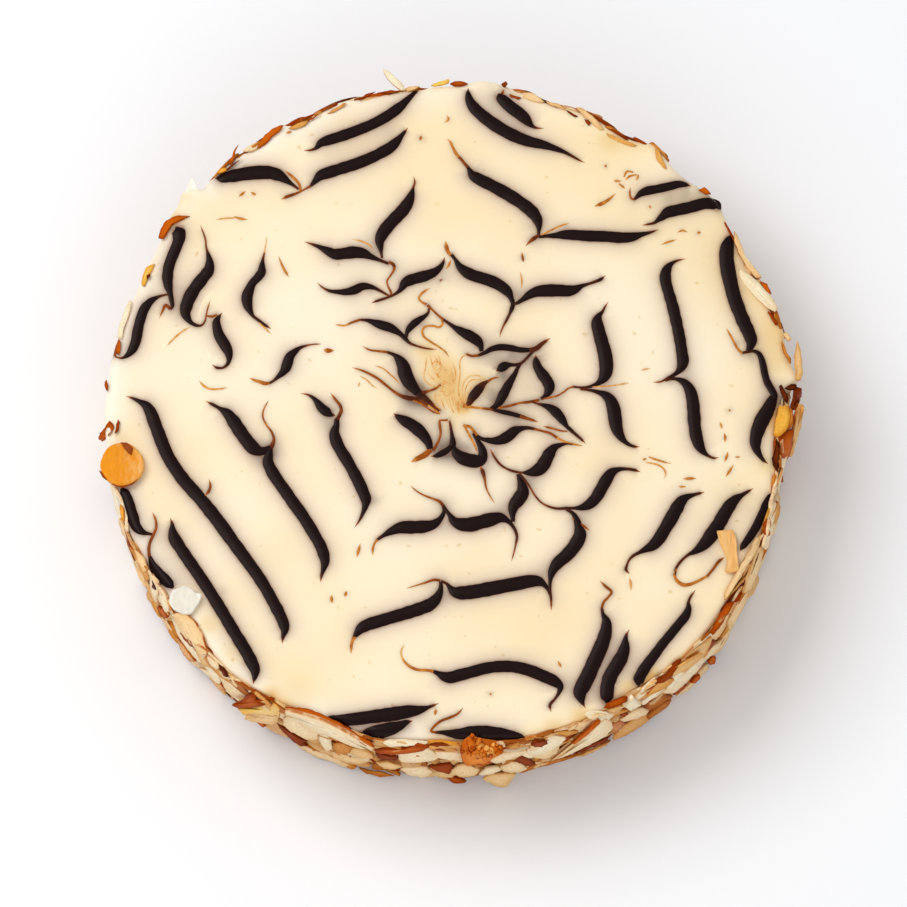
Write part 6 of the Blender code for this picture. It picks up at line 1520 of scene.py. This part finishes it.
def standing_flake(edge, reach, lean, tone, skin, rng):
    """A slice on its edge: its top follows the given places, its foot leans out by lean degrees."""
    top = spline([seen(*place) for place in edge], STANDING_STEP)
    share = np.linspace(0, 1, len(top))
    share = np.clip(share, STANDING_ENDS, 1 - STANDING_ENDS)
    depth = reach * np.sin(np.pi * share) ** STANDING_FULLNESS
    outward = top[:, :2] / np.linalg.norm(top[:, :2], axis=1)[:, None]
    lean = math.radians(lean)
    low = top.copy()
    low[:, :2] += outward * (depth * math.sin(lean))[:, None]
    low[:, 2] -= depth * math.cos(lean)
    return leaf(np.concatenate((top, low[::-1])), rng.uniform(*STANDING_THICKNESS), tone, skin)


def seen_flake(corners, thickness, tone, skin, lift, rng):
    """A flake against the side, its angular outline through the given places, lower edge proud."""
    reach = np.hypot(*np.array(corners).T)
    wide = min(1.0, np.ptp(reach) / SHINGLE_REACH)
    slant = SHINGLE * ((reach - reach.min()) / np.ptp(reach) - 0.5) * wide
    places = [on_side(*place, lift + more) for place, more in zip(corners, slant)]
    lowest = max(place[2] for place in places) - TALLEST_SEEN
    places = [place if place[2] > lowest else seen(*corner, lowest + LEANING_DROP * (place[2] - lowest))
              for place, corner in zip(places, corners)]
    loop = []
    for start, end in zip(places, places[1:] + places[:1]):
        steps = max(1, round(np.linalg.norm(end - start) / EDGE_STEP))
        loop += [start + (end - start) * step / steps for step in range(steps)]
    loop = np.array(loop)
    beside = CORNER_ROUNDING * np.roll(loop, 1, 0), CORNER_ROUNDING * np.roll(loop, -1, 0)
    loop = (1 - 2 * CORNER_ROUNDING) * loop + beside[0] + beside[1]
    loop += np.array([[rng.gauss(0, RAGGED) for _ in range(3)] for _ in loop])
    return leaf(loop, thickness * SEEN_THINNESS, tone, skin)


def crumb(corners, lift, rng):
    """A small grain stuck to a lump whose outline, as seen, runs through the corners."""
    middle = np.mean(corners, 0)
    corner = np.array(corners[rng.randrange(len(corners))])
    place = middle + (corner - middle) * rng.uniform(*CRUMB_PLACES)
    place = place + (rng.gauss(0, CRUMB_SCATTER), rng.gauss(0, CRUMB_SCATTER))
    size = rng.uniform(*CRUMB_SIZES)
    turns = [rng.uniform(*CRUMB_TURNS) * step for step in range(CRUMB_CORNERS)]
    ring = [place + size * rng.uniform(*CRUMB_REACHES) * np.array((math.cos(turn), math.sin(turn)))
            for turn in turns]
    rise = lift + rng.uniform(*CRUMB_RISES)
    return leaf([on_side(*spot, rise) for spot in ring], size, rng.random())


# Each kind's colours by tone, its skin's colour, roughness, strength of patches and grain, gloss
LOOKS = {
    "cream": (((0.0, (255, 241, 208)), (0.5, (250, 223, 178)), (1.0, (238, 196, 134))), (184, 100, 32),
              0.5, 0.5, 0.5, 0.1),
    "tan": (((0.0, (250, 216, 164)), (0.5, (236, 186, 116)), (1.0, (216, 146, 68))), (166, 82, 20),
            0.5, 0.5, 0.5, 0.1),
    "toasted": (((0.0, (232, 172, 90)), (0.5, (206, 128, 44)), (1.0, (168, 88, 22))), (134, 56, 10),
                0.5, 0.6, 0.5, 0.08),
    "skin": (((0.0, (204, 98, 14)), (0.25, (166, 68, 8)), (0.6, (138, 54, 8)), (0.85, (108, 42, 8)),
              (1.0, (72, 28, 8))), (112, 42, 8), 0.5, 0.3, 0.4, 0.04),
    "amber": (((0.0, (250, 204, 92)), (0.5, (236, 162, 44)), (1.0, (190, 98, 14))), (144, 62, 10),
              0.26, 0.7, 0.3, 0.35),
    "crumb": (((0.0, (248, 178, 92)), (0.35, (230, 132, 40)), (0.7, (204, 94, 14)), (1.0, (150, 58, 8))),
              (150, 60, 10), 0.55, 0.5, 0.3, 0.06)}


def make_almonds(name, parts, material):
    """One piece of several almond parts."""
    points, quads, tris, *values = gather(parts)
    return make_piece(name, points, quads, tris, material, **dict(zip(ALMOND_FIELDS, values)))


def make_flakes():
    """All the almonds round the cake, as one piece for each kind."""
    kinds = dict(make_side(), crumb=[])
    rng = random.Random(CRUMB_SEED)
    for kind, tone, skin, reach, lean, *edge in STANDING:
        kinds[kind].append(standing_flake(edge, reach, lean, tone, skin, rng))
    for kind, tone, skin, thickness, lift, *corners in FLAKES:
        kinds[kind].append(seen_flake(corners, thickness, tone, skin, lift, rng))
        if kind == "crumb":
            kinds[kind] += [crumb(corners, lift, rng) for _ in range(CRUMBS)]
    return [make_almonds(f"{kind}_flakes", kinds[kind], almond_material(f"{kind}_almond", *look))
            for kind, look in LOOKS.items()]


# ---------------------------------------------------------------- loose almonds on the icing

TOPPING_RINGS = (               # (share of the outline, share of the height) from the underside up
    (0.5, 0.0), (0.9, 0.0), (0.98, 0.12), (1.0, 0.35), (1.0, 0.62), (0.985, 0.86), (0.95, 0.97),
    (0.88, 1.0), (0.78, 1.0), (0.66, 1.0), (0.53, 1.0), (0.4, 1.0), (0.27, 1.0), (0.13, 1.0))
TOPPING_STEP = 0.4              # between the points round a piece
LUMPS_ALONG, LUMPS_ACROSS, LUMPS_DOWN = 0.9, 0.45, 2    # how fine the unevenness is each way


def nothing(*_):
    """A tone or skin of zero everywhere."""
    return 0.0


def topping(outline, low, high, dish, rough, seed, tone_at=nothing, skin_at=nothing):
    """A loose piece between two heights, its top dished and rough, with ALMOND_FIELDS."""
    loop = spline([(*place, 0.0) for place in (*outline, outline[0])], TOPPING_STEP)[:-1]
    middle = loop.mean(0)
    rings = []
    for share, lift in TOPPING_RINGS:
        ring = middle + (loop - middle) * share
        uneven = [noise.noise((LUMPS_ALONG * x + seed, LUMPS_ACROSS * y, LUMPS_DOWN * lift))
                  for x, y, _ in ring]
        ring[:, 2] = low + (high - low) * lift - (lift == 1.0) * dish * (1 - share ** 2)
        ring[:, 2] += lift * rough * np.array(uneven)
        rings.append(ring)
    points = np.concatenate(rings + [[(*middle[:2], low)], [(*middle[:2], rings[-1][:, 2].mean())]])
    x, y = (points[:, :2] - middle[:2]).T
    tone = np.zeros(len(points)) + np.clip(tone_at(x, y), 0, 1)
    skin = np.zeros(len(points)) + skin_at(x, y, points[:, 2])
    return points, *closed_rings(len(rings), len(loop)), tone, skin, x, y


ROUND_OUTLINE = ((-89.2, -13), (-87.8, -11), (-85.4, -9.9), (-82.6, -10), (-80.4, -11.6), (-78.8, -14),
                 (-78.6, -16.8), (-79.8, -19.3), (-82, -20.9), (-84.8, -21.4), (-87.4, -20.4),
                 (-89.2, -18.3), (-89.9, -15.6))
ROUND_SKINS = (                 # brown skin on its rim: corners x, y, z
    ((-84.7, -9.9, 42.6), (-83.0, -10.1, 42.9), (-81.5, -11.5, 42.9), (-81.9, -13.4, 42.8),
     (-82.8, -12.7, 42.8), (-83.7, -11.6, 42.7)),
    ((-90.1, -17.2, 41.8), (-89.1, -19.2, 42), (-88.2, -19.9, 42.1), (-88.6, -19.1, 42.3),
     (-89.4, -17.9, 42.2)),
    ((-87.0, -21.0, 41.6), (-84.2, -21.9, 41.7), (-81.4, -21.0, 41.9), (-80.2, -19.6, 42.1),
     (-82.4, -20.5, 42.3), (-84.6, -20.9, 42.2)))
WHITE_OUTLINE = ((-71.1, -49.3), (-69.2, -48.6), (-68.1, -48.2), (-66.4, -48.9), (-65.2, -50),
                 (-63.8, -50.5), (-64, -52), (-65, -53.7), (-66.4, -55.5), (-67.8, -55.6), (-69.4, -55.1),
                 (-71, -54.1), (-71.7, -52.7), (-71.9, -51.5))
CHIP_OUTLINE = ((67.7, -33.3), (67.7, -33.3), (71.8, -32.9), (71.8, -32.9), (72.7, -35.5), (72.9, -39.4),
                (73.5, -44), (73.5, -44), (71.2, -44.5), (69.7, -44.2), (69.7, -44.2), (70.4, -42.4),
                (69.9, -40.1), (68.6, -36.9))
ICING_PEAK = ((-69.4, 54.9), (-69.0, 57.8), (-68.2, 60.8), (-67.4, 62.6), (-66.8, 63.2), (-66.3, 62.4),
              (-65.8, 60.8), (-65.0, 59.5), (-63.7, 59.1), (-63.7, 57.3), (-65.5, 55.4), (-67.6, 53.8))
# (lower and upper height, depth of the dish, roughness, seed of the roughness)
PEAK_FORM = (37.8, 39.8, 0.1, 0.1, 3.0)
ROUND_FORM = (40.3, 42.6, 0.35, 0.35, 1.0)
WHITE_FORM = (40.3, 42.1, 0.3, 0.25, 5.0)
CHIP_FORM = (40.55, 41.6, 0.15, 0.3, 9.0)
PEAK_HALO, PEAK_AMBER = 0.4, 0.12       # its colour, as the icing's fields
RIM_SKIN_THICKNESS, ALL_SKIN = 0.5, 2.0         # above 1 the skin covers a flake's faces
# As LOOKS, with how far the grain is drawn out where it isn't GRAIN_STRETCH
TOPPING_LOOKS = {
    "toasted_cut_face": (((0.0, (242, 158, 16)), (0.25, (238, 150, 24)), (0.42, (232, 148, 38)),
                          (0.6, (236, 172, 90)), (0.9, (246, 204, 140)), (0.96, (246, 204, 140)),
                          (1.0, (150, 66, 14))), (128, 52, 10), 0.4, 0.7, 0.15, 0.2, 0.8),
    "blanched_almond": (((0.0, (228, 220, 202)), (0.5, (238, 232, 218)), (1.0, (253, 248, 238))),
                        (222, 190, 146), 0.5, 0.2, 0.06, 0.2),
    "toasted_chip": (((0.0, (250, 226, 178)), (0.4, (242, 200, 134)), (1.0, (232, 158, 72))),
                     (176, 98, 40), 0.5, 1.0, 0.25, 0.2)}


def make_peak():
    """A tongue of icing drawn out over the edge."""
    points, quads, tris, *_ = topping(ICING_PEAK, *PEAK_FORM)
    return make_piece("icing_peak", points, quads, tris, bpy.data.materials["icing"],
                      halo=np.full(len(points), PEAK_HALO), amber=np.full(len(points), PEAK_AMBER))


ROUND_TONE, ROUND_PALING = 0.4, 0.034           # at its middle, and more for each mm to the right
ROUND_SKIN, ROUND_SKIN_HEIGHTS, ROUND_SKIN_NEAR = 0.85, (41.9, 41.0), (2.0, -3.0)
ROUND_SKIN_SKEW = 0.4
WHITE_TONE, WHITE_RIM_LIGHT, WHITE_RIM = 0.3, 0.6, (2.6, 4.2)    # the rim's painted light is added, at these distances
CHIP_TONE = 0.62


def round_tone(x, y):
    """The round almond is paler towards the right."""
    return ROUND_TONE + ROUND_PALING * x


def round_skin(x, y, z):
    """It keeps brown skin low down on its near side."""
    near = smoothstep(*ROUND_SKIN_NEAR, y + ROUND_SKIN_SKEW * x)
    return ROUND_SKIN * smoothstep(*ROUND_SKIN_HEIGHTS, z) * near


def white_tone(x, y):
    """The white almond is whitest at its rim: painted light on the raised edge round its dished top."""
    return WHITE_TONE + WHITE_RIM_LIGHT * smoothstep(*WHITE_RIM, np.hypot(x, y))


def chip_tone(x, y):
    """The chip is evenly toasted."""
    return CHIP_TONE


def make_toppings():
    """The three loose almond pieces, each in its node's place."""
    skins = [leaf(corners, RIM_SKIN_THICKNESS, ALL_SKIN) for corners in ROUND_SKINS]
    for node, name, slot, parts in (
            ("toasted_almond_round", "round_toasted_almond", "toasted_cut_face",
             [topping(ROUND_OUTLINE, *ROUND_FORM, round_tone, round_skin), *skins]),
            ("blanched_almond_piece", "white_almond_piece", "blanched_almond",
             [topping(WHITE_OUTLINE, *WHITE_FORM, white_tone)]),
            ("toasted_almond_chip", "flat_toasted_chip", "toasted_chip",
             [topping(CHIP_OUTLINE, *CHIP_FORM, chip_tone)])):
        piece = make_almonds(name, parts, almond_material(slot, *TOPPING_LOOKS[slot]))
        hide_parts(node)


# ---------------------------------------------------------------- studio

WORLD_STRENGTH = 0.58
LIGHTS = (                      # name, place and size in metres, power in watts
    ("key", (-0.6, 0.3, 1.1), 0.8, 8.4), ("front", (0.1, -1.1, 0.8), 1.0, 4.0))
FLOOR_REACH = 3                 # metres
FLOOR_COLOUR = (0.92, 0.93, 0.95, 1)


def area_light(name, place, size, power):
    """A square soft light that faces the torte."""
    data = bpy.data.lights.new(name, "AREA")
    data.size = size
    data.energy = power
    light = bpy.data.objects.new(name, data)
    light.location = place
    light.rotation_euler = (-Vector(place)).to_track_quat("-Z", "Y").to_euler()
    bpy.context.scene.collection.objects.link(light)


def make_studio():
    """A pale floor, a white surround, a soft light from the upper left and a weaker one in front."""
    mesh = bpy.data.meshes.new("floor")
    corners = [(x * FLOOR_REACH, y * FLOOR_REACH, 0) for x, y in ((-1, -1), (1, -1), (1, 1), (-1, 1))]
    mesh.from_pydata(corners, [], [(0, 1, 2, 3)])
    material, _, shader = new_material("floor", roughness=0.6)
    shader.inputs["Base Color"].default_value = FLOOR_COLOUR
    mesh.materials.append(material)
    floor = bpy.data.objects.new("floor", mesh)
    bpy.context.scene.collection.objects.link(floor)
    world = bpy.data.worlds.new("surround")
    world.use_nodes = True
    background = world.node_tree.nodes["Background"]
    background.inputs["Color"].default_value = (1, 1, 1, 1)
    background.inputs["Strength"].default_value = WORLD_STRENGTH
    bpy.context.scene.world = world
    for light in LIGHTS:
        area_light(*light)
    bpy.context.scene.view_settings.view_transform = "Standard"


def make_camera():
    """The photograph's view: from straight in front, CAMERA_ELEVATION above the horizon."""
    data = bpy.data.cameras.new("camera")
    data.lens = CAMERA_LENS
    data.sensor_width = CAMERA_SENSOR
    data.clip_end = CAMERA_CLIP
    camera = bpy.data.objects.new("camera", data)
    tilt = math.radians(CAMERA_ELEVATION)
    away = Vector((0, -math.cos(tilt), math.sin(tilt))) * CAMERA_DISTANCE * MM
    camera.location = Vector(CAMERA_AIM) * MM + away
    camera.rotation_euler = away.to_track_quat("Z", "Y").to_euler()
    bpy.context.scene.collection.objects.link(camera)
    bpy.context.scene.camera = camera


make_studio()
make_camera()
make_icing()
make_peak()
make_strokes()
for piece in (make_core(), *make_flakes()):
    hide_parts("cake_body")
make_toppings()
